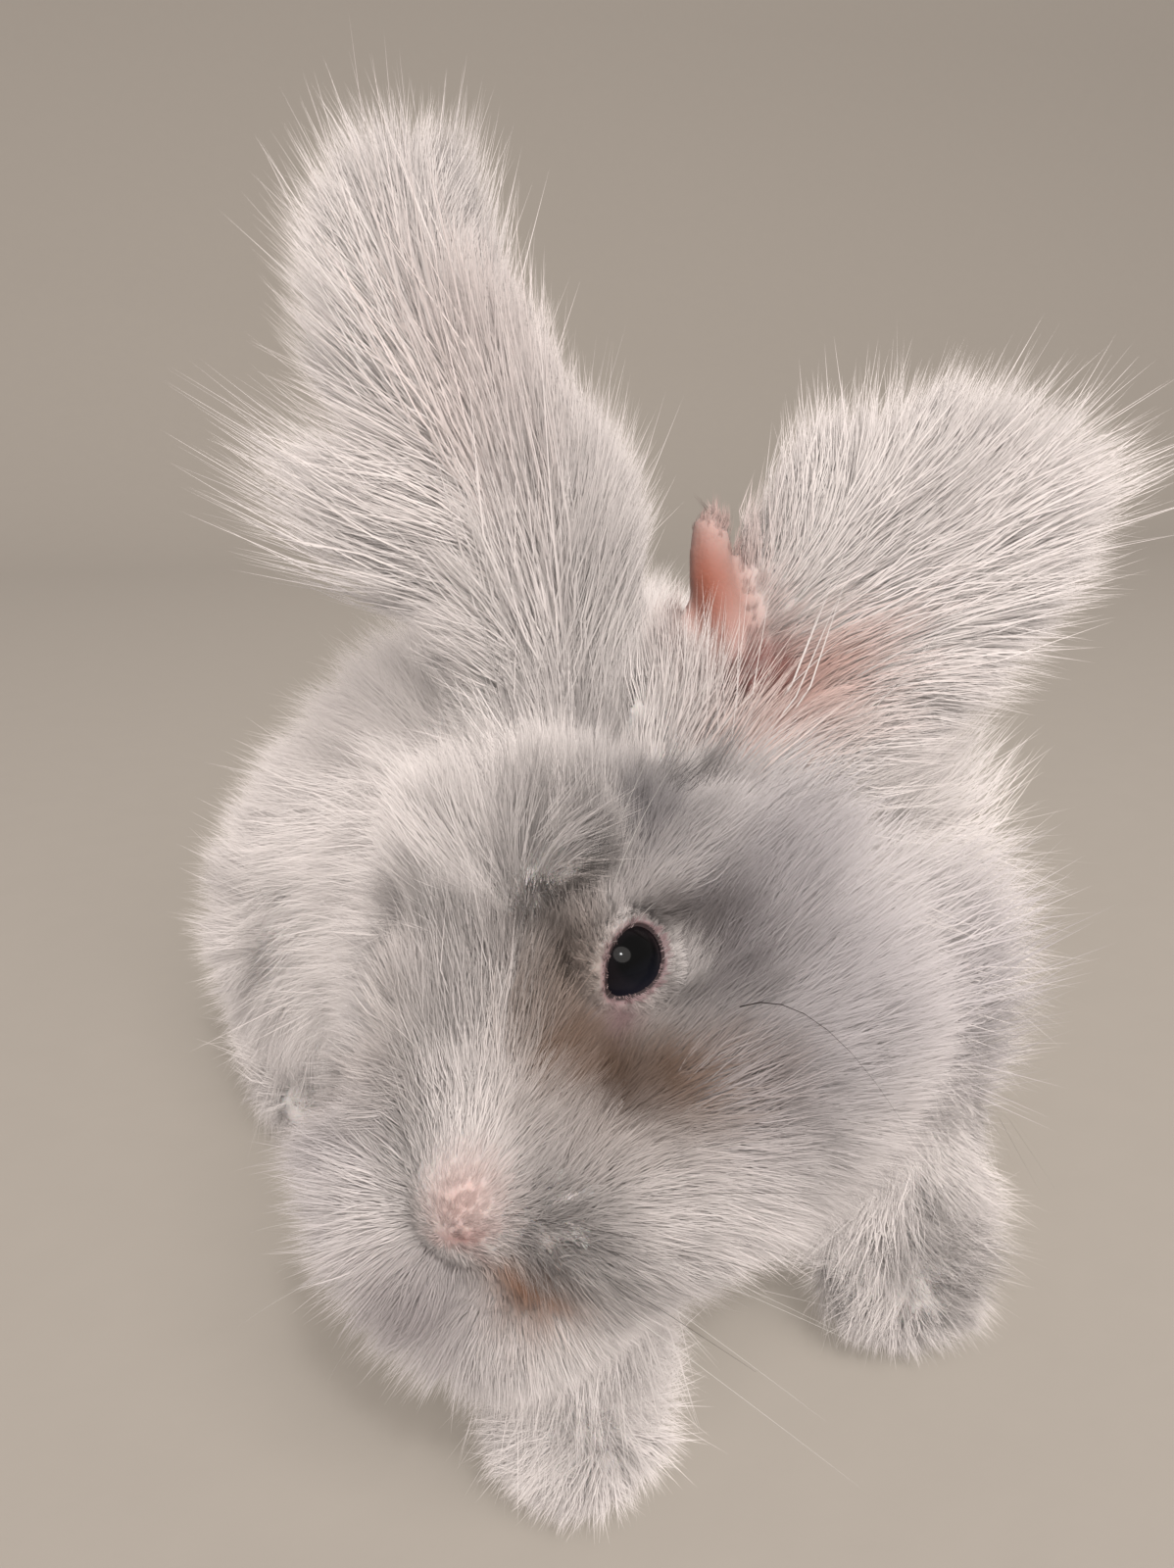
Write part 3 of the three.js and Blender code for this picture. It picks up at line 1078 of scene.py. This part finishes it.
@dataclass(frozen=True)
class Finish:
    """A material read from the markings and painted shade or of one tone, with a fine grain in colour,
    roughness and height.

    Args:
        name: the material's name.
        roughness: of the shader, where the grain is lowest and where it is highest.
        specular: specular level.
        grain_mm: size of the grain.
        grain: how strongly the grain lightens and darkens.
        bump_mm: height of the grain's bump.
        coat: strength of a clear wet layer.
        through: strength of light scattered under the surface.
        detail: octaves of the grain.
        tone: one colour instead of the markings and painted shade.
    """

    name: str
    roughness: tuple[float, float]
    specular: float
    grain_mm: float
    grain: float
    bump_mm: float
    coat: float = 0.0
    through: float = 0.0
    detail: float = 2.0
    tone: Optional[Tone] = None

    def build(self) -> bpy.types.Material:
        """Makes the material.

        Returns:
            The material.
        """
        material = bpy.data.materials.new(self.name)
        material.use_nodes = True
        tree = material.node_tree
        tree.nodes.clear()
        if self.tone:
            tint = tuple(self.tone.linear)
        else:
            tint = add_node(tree, "ShaderNodeAttribute", {}, attribute_name=TONE_MAP).outputs["Color"]
        spot = add_node(tree, "ShaderNodeTexCoord", {}).outputs["Object"]
        size = {"Vector": spot, "Scale": 1000 / self.grain_mm, "Detail": self.detail}
        noise = add_node(tree, "ShaderNodeTexNoise", size).outputs["Fac"]
        shade = {"Value": noise, 3: 1 - self.grain, 4: 1 + self.grain}
        shade = add_node(tree, "ShaderNodeMapRange", shade).outputs["Result"]
        base = add_node(tree, "ShaderNodeVectorMath", {0: tint, "Scale": shade}, operation="SCALE")
        rough = {"Value": noise, 3: self.roughness[0], 4: self.roughness[1]}
        bump = {"Height": noise, "Distance": self.bump_mm / 1000, "Strength": 1.0}
        surface = {
            "Base Color": base.outputs["Vector"],
            "Roughness": add_node(tree, "ShaderNodeMapRange", rough).outputs["Result"],
            "Specular IOR Level": self.specular,
            "Coat Weight": self.coat,
            "Coat Roughness": 0.02,
            "Subsurface Weight": self.through,
            "Subsurface Radius": (0.004, 0.0015, 0.001),
            "Subsurface Scale": 0.5,
            "Normal": add_node(tree, "ShaderNodeBump", bump).outputs["Normal"],
        }
        shader = add_node(tree, "ShaderNodeBsdfPrincipled", surface)
        add_node(tree, "ShaderNodeOutputMaterial", {"Surface": shader.outputs["BSDF"]})
        return material


# Angora wool, grown as fine hollow fibres with hardly any scales: soft and white, with no shine anywhere.
# The real fibre is 0.012 mm thick, so blades and grain are drawn far coarser than that.
WOOL = Finish("wool", (0.765, 1.0), 0.08, grain_mm=1.4, grain=0.05, bump_mm=0.02)
# Rabbit skin, thin and finely creased over blood: light goes in a little, so that bare skin looks warm.
SKIN = Finish("skin", (0.51, 0.69), 0.3, grain_mm=0.7, grain=0.06, bump_mm=0.12, through=0.2)
# Cornea, a smooth dome kept wet by tears over a dark iris: it mirrors a lamp as a small sharp spot.
WET = Finish("eye", (0.085, 0.115), 0.05, grain_mm=0.5, grain=0.15, bump_mm=0.002, coat=0.12)
# Whisker, a stiff tapering shaft of solid horn, smoother than wool: it catches a thin line of light.
HORN = Finish("hair_shaft", (0.3825, 0.5175), 0.4, grain_mm=3.0, grain=0.06, bump_mm=0.02)
# Board rolled with matt wall paint: a faint stipple that spreads the light evenly. A roller's stipple is
# 1 to 2 mm wide. It is drawn coarser, 60 to the metre, so that it doesn't draw the eye off the wool.
BOARD = Finish("floor", (0.75, 0.9), 0.5, 1000 / 60, grain=0.02, bump_mm=0.2, detail=4.0, tone=Tone.FLOOR)


@dataclass
class Skin:
    """One skin over the whole animal, with the lids round each eye.

    Args:
        flesh: the lobes under the skin.
        rings: degrees past the gap and mm above the eyeball of each ring of a lid.
        around: points in each ring.
    """

    flesh: Flesh
    rings: tuple[tuple[float, float], ...] = (
        (-3.0, 0.02),
        (0.0, 0.10),
        (1.4, 0.55),
        (3.6, 0.90),
        (8.0, 1.10),
        (13.0, 1.20),
        (19.0, 1.15),
        (26.0, 0.80),
        (36.0, -0.30),
    )
    around: int = 64

    def __post_init__(self) -> None:
        """Builds the surface."""
        points, quads = self.flesh.shell()
        parts = self.flesh.parts(points)
        for right in (False, True):
            lid, faces = self.lids(right)
            quads = np.vstack([quads, faces + len(points)])
            points = np.vstack([points, POSE.place(lid)])
            parts = np.concatenate([parts, np.full(len(lid), int(Part.HEAD))])
        self.hide = Hide(points, quads, parts)

    def lids(self, right: bool) -> tuple[Array, Array]:
        """The two lids of an eye as rings from the opening outwards.

        Args:
            right: for the right eye.

        Returns:
            Vertices in the head's frame and four-sided faces.
        """
        gaze, along, across = EYE.axes
        turn = np.linspace(0, 2 * math.pi, self.around, endpoint=False)
        ways = np.cos(turn)[:, None] * along + np.sin(turn)[:, None] * across
        out = []
        for more, rise in self.rings:
            tilt = np.radians(EYE.rim(turn) + more)[:, None]
            out.append((np.cos(tilt) * gaze + np.sin(tilt) * ways) * (EYE.radius + rise) + np.array(EYE.at))
        points, quads = np.vstack(out), ring_faces(len(self.rings), self.around)
        return (points * MIRROR, quads[:, ::-1]) if right else (points, quads)

    def build(self, places: Array) -> bpy.types.Object:
        """Makes the object in place of all nodes of flesh.

        Args:
            places: the unwrap of each face's corners.

        Returns:
            The object.
        """
        colours = Markings.colour(self.hide.points, self.hide.parts)
        piece = build_mesh("skin", self.hide.points, self.hide.corners, SKIN.build(), colours, places)
        return piece


@dataclass
class Coat:
    """The wool: tufts of thin blades rooted in the skin, drawn together into locks.

    Args:
        hide: the skin with its combed coat.
        places: the unwrap of each face's corners.
        most: triangles in one piece.
        short: length below which a tuft is down, mm.
        barest: length up to which the skin stays bare, mm.
        lock: how many tufts share a lock.
        strays: share of the blades that run past the rest.
        stray_more: their length against the others'.
    """

    hide: Hide
    places: Array
    most: int = 186000
    short: float = 13.0
    barest: float = 1.0
    lock: int = 9
    strays: float = 0.07
    stray_more: float = 1.13
    quick: float = 0.25

    def __post_init__(self) -> None:
        """Seeds the random draws and makes the material."""
        self.random = np.random.default_rng(SEED)
        self.material = WOOL.build()
        self.total = 0

    def sow(self, faces: Array, count: int) -> dict[str, Array]:
        """Picks tuft roots, closer together where the coat is short.

        Args:
            faces: the faces to pick from.
            count: how many roots.

        Returns:
            Root places, normals, ways, lengths, parts and unwrap places.
        """
        hide = self.hide
        corners = hide.corners[faces]
        p = hide.points[corners]
        area = np.linalg.norm(np.cross(p[:, 2] - p[:, 0], p[:, 3] - p[:, 1]), axis=1) / 2
        reach = hide.reach[corners].mean(axis=1)
        weight = area * (25.0 / (reach + 5.0)) ** 0.8
        pick = self.random.choice(len(faces), count, p=weight / weight.sum())
        s, t = self.random.random((2, count, 1))
        share = np.concatenate([(1 - s) * (1 - t), s * (1 - t), s * t, (1 - s) * t], axis=1)

        def mix(values: Array) -> Array:
            """Blends the values of a face's four corners at each root."""
            return (values[corners[pick]] * share[:, :, None]).sum(axis=1)

        return {
            "at": mix(hide.points),
            "out": unit(mix(hide.normals)),
            "way": unit(mix(hide.ways)),
            "long": (hide.reach[corners[pick]] * share).sum(axis=1),
            "part": hide.parts[corners[pick, 0]],
            "place": (self.places[faces[pick]] * share[:, :, None]).sum(axis=1),
        }

    def gather(self, roots: dict[str, Array], nap: Nap) -> None:
        """Draws each tuft's tip towards that of the lock it belongs to.

        Args:
            roots: what sow gave. The tips are added to it.
            nap: how strongly the part's wool locks.
        """
        long = roots["long"][:, None]
        wander = self.random.normal(0, nap.curl, roots["way"].shape)
        tips = roots["at"] + unit(roots["way"] + wander) * long
        leaders = self.random.choice(len(tips), max(len(tips) // self.lock, 1), replace=False)
        tree = KDTree(len(leaders))
        for i, leader in enumerate(leaders):
            tree.insert(roots["at"][leader], i)
        tree.balance()
        chief = leaders[[tree.find(at)[1] for at in roots["at"]]]
        pull = nap.lock * step(4, 14, roots["long"])[:, None]
        share = np.minimum(long / np.maximum(roots["long"][chief][:, None], 1e-6), 1.0)
        goal = roots["at"] + unit(tips[chief] - roots["at"]) * long * (0.85 + 0.15 * share)
        roots["tip"] = tips * (1 - pull) + goal * pull + np.array([0, 0, -nap.droop]) * long

    def clear(self, roots: dict[str, Array]) -> Array:
        """Shortens the tufts that would cross an eye.

        Args:
            roots: what sow and gather gave. Tips and lengths are changed in it.

        Returns:
            Which tufts stay out of the eyes.
        """
        for factor in (0.7, 0.6, 0.6, 1.0):
            clear = np.ones(len(roots["at"]), bool)
            for share in (0.35, 0.7, 1.0):
                past, above = EYE.past(POSE.local(roots["at"] * (1 - share) + roots["tip"] * share))
                clear &= (past > 1.5) | (above > 28)
            scale = np.where(clear, 1.0, factor)
            roots["tip"] = roots["at"] + (roots["tip"] - roots["at"]) * scale[:, None]
            roots["long"] = roots["long"] * scale
        return clear

    def grow(self, name: str, nap: Nap, strand: Strand, roots: dict[str, Array]) -> None:
        """Grows one coat piece.

        Args:
            name: the piece's name.
            nap: how the coat lies here.
            strand: how its blades are drawn.
            roots: what sow and gather gave.
        """
        rand = self.random
        count, blades = len(roots["at"]), strand.blades
        total = count * blades
        long = roots["long"][:, None, None]
        ahead = (roots["tip"] - roots["at"])[:, None] / long
        out = roots["out"][:, None]
        side = unit(np.cross(ahead, out) + 1e-3)
        rise = np.cross(side, out)
        # Roots of a tuft's blades are spread over a small round patch, just under the skin.
        ring = rand.normal(0, 0.55, (count, blades, 2))
        offset = (ring[..., :1] * side + ring[..., 1:] * rise) * (0.35 + 0.055 * long)
        start = roots["at"][:, None] + offset - out * np.minimum(0.6, 0.12 * long)
        # Lengths vary, and one blade in fourteen strays past the rest.
        reach = long * rand.uniform(0.82, 1.10, (count, blades, 1)) * rand.uniform(0.95, 1.07, (count, 1, 1))
        reach = reach * np.where(rand.random((count, blades, 1)) < self.strays, self.stray_more, 1.0)
        own = rand.normal(0, 0.045 + nap.curl * 0.35, (count, blades, 3))
        swing = rand.normal(0, nap.curl, (count, 1, 1)) * side
        middle = start + (out * 0.24 + ahead * 0.34 + swing + own * 0.8) * reach + offset * 0.3
        tip = roots["at"][:, None] + (ahead + own) * reach + offset * 0.3
        t = np.array([0.0, strand.knee, 1.0])[:, None]
        curve = (1 - t) ** 2 * start[:, :, None] + 2 * t * (1 - t) * middle[:, :, None]
        curve = curve + t**2 * tip[:, :, None]
        roll = rand.uniform(-0.5, 0.5, (count, blades, 1))
        flat = (side * np.cos(roll) + out * np.sin(roll))[:, :, None]
        wide = (strand.base_mm + strand.more * long)[..., None] * np.array([1.0, strand.narrow])[:, None] / 2
        edges = [curve[:, :, :-1] - flat * wide, curve[:, :, :-1] + flat * wide]
        points = np.stack(edges, axis=3).reshape(count, blades, 4, 3)
        points = np.concatenate([points, curve[:, :, -1:]], axis=2)
        points[..., 2] = np.maximum(points[..., 2], 0.3)
        corners = np.arange(total)[:, None] * len(BLADE_PLACES) + BLADE_CORNERS
        places = roots["place"][:, None, None] + BLADE_PLACES[BLADE_CORNERS]
        places = np.broadcast_to(places, (count, blades, len(BLADE_CORNERS), 2))
        seen = roots["at"] * (1 - nap.shown) + roots["tip"] * nap.shown
        colours = Markings.colour(seen, roots["part"]) * rand.uniform(0.95, 1.03, (count, 1))
        colours = np.repeat(colours, blades * len(BLADE_PLACES), axis=0)
        sides = np.tile(BLADE_SIDES, total)
        piece = build_mesh(name, points.reshape(-1, 3), corners, self.material, colours, places, sides)
        self.total += total * BLADE_TRIANGLES
        log.info("%s: %d tufts, %d triangles", name, count, total * BLADE_TRIANGLES)

    def build(self) -> None:
        """Grows the whole coat, part by part, in pieces of a size that can be baked."""
        own = self.hide.parts[self.hide.corners[:, 0]]
        share = 1.0
        for part, nap in NAPS.items():
            roots = self.sow(np.flatnonzero(own == part), int(nap.tufts * share))
            self.gather(roots, nap)
            furred = roots["long"] > self.barest
            keep = self.clear(roots) & furred
            small = roots["long"] < self.short
            for kind, strand, mine in (("down", DOWN, keep & small), ("wool", WAVY, keep & ~small)):
                order = np.flatnonzero(mine)
                if not len(order):
                    continue
                order = order[np.argsort(roots["at"][order, 1])]
                most = self.most // (strand.blades * BLADE_TRIANGLES)
                cuts = np.array_split(order, math.ceil(len(order) / most))
                for i, cut in enumerate(cuts):
                    tag = f"_{i + 1}" if len(cuts) > 1 else ""
                    some = {key: value[cut] for key, value in roots.items()}
                    self.grow(f"{kind}_{part.name.lower()}{tag}", nap, strand, some)
        log.info("coat: %d triangles", self.total)


@dataclass
class Eye:
    """An eyeball with a wide pupil in a dark iris, and a cornea that bulges.

    Args:
        right: whether it is the right eye.
        rings: rings of points from front to back.
        around: points in each ring.
        pupil: half its width as seen from the eyeball's middle, degrees.
        iris: the same for the iris, degrees.
        bulge: how far the cornea stands out, as a share of the radius.
        dome: how wide the bulge is, degrees.
        glow: how much lighter the iris is at its lower edge, as a painted reflection.
    """

    right: bool
    rings: int = 26
    around: int = 40
    pupil: float = 24.0
    iris: float = 62.0
    bulge: float = 0.045
    dome: float = 34.0
    glow: float = 0.22

    def build(self, material: bpy.types.Material) -> None:
        """Makes the eyeball in place of its solid.

        Args:
            material: the wet eye material.
        """
        gaze, across, up = EYE.axes
        tilt = np.linspace(0, math.pi, self.rings)[:, None, None]
        turn = np.linspace(0, 2 * math.pi, self.around, endpoint=False)
        ways = np.cos(turn)[:, None] * across + np.sin(turn)[:, None] * up
        degrees = np.degrees(tilt)
        swell = 1 + self.bulge * np.exp(-((degrees / self.dome) ** 2))
        points = (np.cos(tilt) * gaze + np.sin(tilt) * ways) * EYE.radius * swell
        points = points.reshape(-1, 3) + np.array(EYE.at)
        # A painted reflection: the iris is a little lighter and bluer below, standing for the surroundings
        # mirrored in the cornea.
        glow = Tone.IRIS_GLOW.linear * np.clip(-ways[:, 2:], 0, 1) * self.glow * np.sin(tilt)
        front = np.where(degrees < self.pupil, Tone.PUPIL.linear, Tone.IRIS.linear) + glow
        colours = np.where(degrees < self.iris, front, Tone.EYE_WHITE.linear).reshape(-1, 3)
        quads = ring_faces(self.rings, self.around)
        if self.right:
            points, quads = points * MIRROR, quads[:, ::-1]
        name = "eyeball_" + ("right" if self.right else "left")
        piece = build_mesh(name, POSE.place(points), quads, material, colours)
        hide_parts("eye_right" if self.right else "eye_left")


@dataclass(frozen=True)
class Shaft:
    """One long stiff hair.

    Args:
        root: where it leaves the skin, in the head's frame, mm.
        way: the way that it starts.
        length: mm.
        sag: how far the tip is bent, as a share of the length.
        bend: the way of the bend.
        tone: its colour.
        thick: width at the root, mm.
        rows: rings of three points along it.
    """

    root: Sequence[float]
    way: Sequence[float]
    length: float
    sag: float
    bend: Sequence[float]
    tone: Tone
    thick: float
    rows: int = 9

    def tube(self) -> Array:
        """The hair as rings of points that run out to its tip.

        Returns:
            Vertices in the head's frame.
        """
        t = np.linspace(0, 1, self.rows)[:, None]
        way, bend = unit(np.array(self.way, float)), unit(np.array(self.bend, float))
        spine = np.array(self.root) + self.length * (way * t + bend * self.sag * t**2)
        side = unit(np.cross(way, bend) + 1e-6)
        up = unit(np.cross(side, way))
        turn = np.arange(3) * 2 * math.pi / 3
        ring = np.cos(turn)[:, None] * side + np.sin(turn)[:, None] * up
        half = (self.thick / 2 * (1 - t) ** 0.8 + 0.012)[:, None]
        return (spine[:, None] + ring[None] * half).reshape(-1, 3)


class Vibrissae:
    """Whiskers of the muzzle, brow hairs and lashes."""

    def whiskers(self) -> list[Shaft]:
        """Rows of whiskers on both pads, and the long dark hair of the left cheek.

        Returns:
            The hairs.
        """
        rand = np.random.default_rng(SEED + 2)
        out = []
        for side in (1, -1):
            for row in range(3):
                for k in range(4):
                    root = (side * (13 + 2.2 * k), 6 + 3.6 * k, -15 + 4.5 * row + 0.4 * k)
                    way = (side * (0.9 + 0.05 * k), -0.22 + 0.16 * k, -0.5 + 0.32 * row)
                    way = tuple(np.array(way) + rand.normal(0, 0.07, 3))
                    tone = Tone.WHISKER_DARK if rand.random() < 0.2 else Tone.WHISKER
                    length = rand.uniform(30, 46) - 3 * k
                    out.append(Shaft(root, way, length, rand.uniform(0.1, 0.3), (0, 0.4, -1), tone, 0.10))
            for root, way, length in (
                ((side * 15, 44, 23), (side * 0.5, 0.1, 0.9), 24),
                ((side * 13, 48, 24), (side * 0.3, 0.3, 0.9), 20),
            ):
                out.append(Shaft(root, way, length, 0.25, (side, 0.6, 0), Tone.WHISKER, 0.14))
        way, bend = (0.96, 0.08, 0.27), (-0.16, -0.10, -0.98)
        out.append(Shaft((36.5, 36, 9), way, 28.5, 1.24, bend, Tone.WHISKER_DARK, 0.22))
        return out

    def lashes(self) -> list[Shaft]:
        """Fine hairs along the upper lids.

        Returns:
            The hairs.
        """
        rand = np.random.default_rng(SEED + 3)
        gaze, along, across = EYE.axes
        out = []
        for turn in np.linspace(math.radians(25), math.radians(165), 16):
            tilt = math.radians(float(EYE.rim(np.array(turn))) + 3.5)
            spoke = math.cos(turn) * along + math.sin(turn) * across
            spot = math.cos(tilt) * gaze + math.sin(tilt) * spoke
            root = np.array(EYE.at) + spot * (EYE.radius + 0.8)
            way = gaze * 0.8 + spoke * 0.55 + rand.normal(0, 0.12, 3)
            length = rand.uniform(3.2, 5.6)
            tone = Tone.WHISKER_DARK if turn > 1.9 else Tone.WHISKER
            for side in (1, MIRROR):
                out.append(Shaft(root * side, way * side, length, 0.25, -spoke * side, tone, 0.09))
        return out

    def build(self) -> None:
        """Makes the whiskers and the lashes, one piece each."""
        material = HORN.build()
        belt = ring_faces(Shaft.rows, 3)[:, [0, 3, 2, 1]]
        for name, shafts in (("whiskers", self.whiskers()), ("lashes", self.lashes())):
            points = POSE.place(np.vstack([shaft.tube() for shaft in shafts]))
            faces = np.vstack([belt + 3 * Shaft.rows * k for k in range(len(shafts))])
            colours = np.repeat([shaft.tone.linear for shaft in shafts], 3 * Shaft.rows, axis=0)
            piece = build_mesh(name, points, faces, material, colours)
            log.info("%s: %d hairs", name, len(shafts))


@dataclass
class Studio:
    """Pale floor, soft lights and the camera.

    Args:
        bright: the way to the brightest part of the sky.
        sky: strength of the sky at its darkest and its brightest.
        lamps: name, place, width, watts and tone of each lamp.
        aim: the place that the lamps face, m.
        nook: how near a surface has to be to shade the wool, m.
        eye_at: the camera's place in the animal's frame, mm.
        eye_turn: the camera's turn about X and Z, degrees.
        lens: its focal length, mm.
        film: the width of its sensor, mm.
    """

    bright: Triple = (0.30, -0.65, 0.70)
    sky: tuple[float, float] = (0.09, 0.95)
    lamps: tuple[tuple[str, Triple, float, float, Tone], ...] = (
        ("key", (0.20, -1.9, 2.1), 1.8, 34, Tone.WARM_LIGHT),
        ("spark", (0.02, -1.0, 1.15), 0.11, 3.6, Tone.WHITE_LIGHT),
        ("rim", (0.2, 1.1, 1.2), 1.2, 2, Tone.WHITE_LIGHT),
    )
    aim: Triple = (0, 0, 0.08)
    nook: float = 0.0022
    eye_at: Triple = (-62.98, -262.64, 190.0)
    eye_turn: tuple[float, float] = (72.5, -12.0)
    lens: float = 27.0
    film: float = 36.0

    def build(self) -> None:
        """Makes the floor, the light and the camera."""
        self.floor()
        self.world()
        self.lights()
        self.camera()

    def floor(self) -> None:
        """A wide sweep of pale painted board that runs up behind the animal."""
        mesh = bpy.data.meshes.new("floor")
        bend, start, half, top = 0.9, 1.3, 7.0, 6.0
        curve = [
            (start + bend * math.sin(a), bend - bend * math.cos(a)) for a in np.linspace(0, math.pi / 2, 16)
        ]
        side = [(-3.0, 0.0), *curve, (start + bend, top)]
        points = [(x, y, z) for y, z in side for x in (-half, half)]
        faces = [(2 * k, 2 * k + 1, 2 * k + 3, 2 * k + 2) for k in range(len(side) - 1)]
        mesh.from_pydata(points, [], faces)
        mesh.polygons.foreach_set("use_smooth", [True] * len(faces))
        mesh.materials.append(BOARD.build())
        piece = bpy.data.objects.new("floor", mesh)
        bpy.context.scene.collection.objects.link(piece)

    def world(self) -> None:
        """A pale sky, brightest on one side, that only the nearest blades shade."""
        world = bpy.data.worlds.new("studio")
        world.use_nodes = True
        tree = world.node_tree
        tree.nodes.clear()
        way = add_node(tree, "ShaderNodeTexCoord", {}).outputs["Generated"]
        side = {0: way, 1: tuple(unit(np.array(self.bright)))}
        side = add_node(tree, "ShaderNodeVectorMath", side, operation="DOT_PRODUCT").outputs["Value"]
        span = {"Value": side, 1: -0.8, 2: 1.0, 3: self.sky[0], 4: self.sky[1]}
        span = add_node(tree, "ShaderNodeMapRange", span)
        glow = {"Color": (*Tone.SKY.linear, 1), "Strength": span.outputs["Result"]}
        glow = add_node(tree, "ShaderNodeBackground", glow)
        add_node(tree, "ShaderNodeOutputWorld", {"Surface": glow.outputs["Background"]})
        world.light_settings.distance = self.nook
        scene = bpy.context.scene
        scene.world = world
        scene.view_settings.view_transform = "Standard"
        scene.cycles.diffuse_bounces = 2
        scene.cycles.use_fast_gi = True
        scene.cycles.fast_gi_method = "REPLACE"
        scene.cycles.ao_bounces_render = 1

    def lights(self) -> None:
        """A large soft key light, a small spark for the eyes and a weak light from behind."""
        for name, at, size, power, tone in self.lamps:
            lamp = bpy.data.lights.new(name, "AREA")
            lamp.shape = "DISK"
            lamp.size = size
            lamp.energy = power
            lamp.color = tone.linear
            piece = bpy.data.objects.new(name, lamp)
            piece.location = at
            piece.rotation_euler = (Vector(self.aim) - Vector(at)).to_track_quat("-Z", "Y").to_euler()
            bpy.context.scene.collection.objects.link(piece)

    def camera(self) -> None:
        """The photographer's place: close, a little above the ears, looking down."""
        lens = bpy.data.cameras.new("camera")
        lens.lens = self.lens
        lens.sensor_width = self.film
        piece = bpy.data.objects.new("camera", lens)
        piece.location = tuple((np.array(self.eye_at) + SHIFT) / 1000)
        piece.rotation_euler = Euler((math.radians(self.eye_turn[0]), 0, math.radians(self.eye_turn[1])))
        bpy.context.scene.collection.objects.link(piece)
        bpy.context.scene.camera = piece


def main() -> None:
    """Builds the animal and its studio."""
    logging.basicConfig(level=logging.INFO, format="%(message)s")
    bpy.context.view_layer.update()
    Studio().build()
    flesh = [node for name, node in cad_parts.items() if not name.startswith("eye_")]
    names = [node.name for node in flesh]
    outline = Outline(flesh)
    skin = Skin(Flesh())
    log.info("skin: %d faces", len(skin.hide.corners))
    skin.hide.comb(outline)
    places = unwrapped(skin.hide)
    piece = skin.build(places)
    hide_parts(*names)
    Coat(skin.hide, places).build()
    wet = WET.build()
    for right in (False, True):
        Eye(right).build(wet)
    Vibrissae().build()


if __name__ == "__main__":
    main()
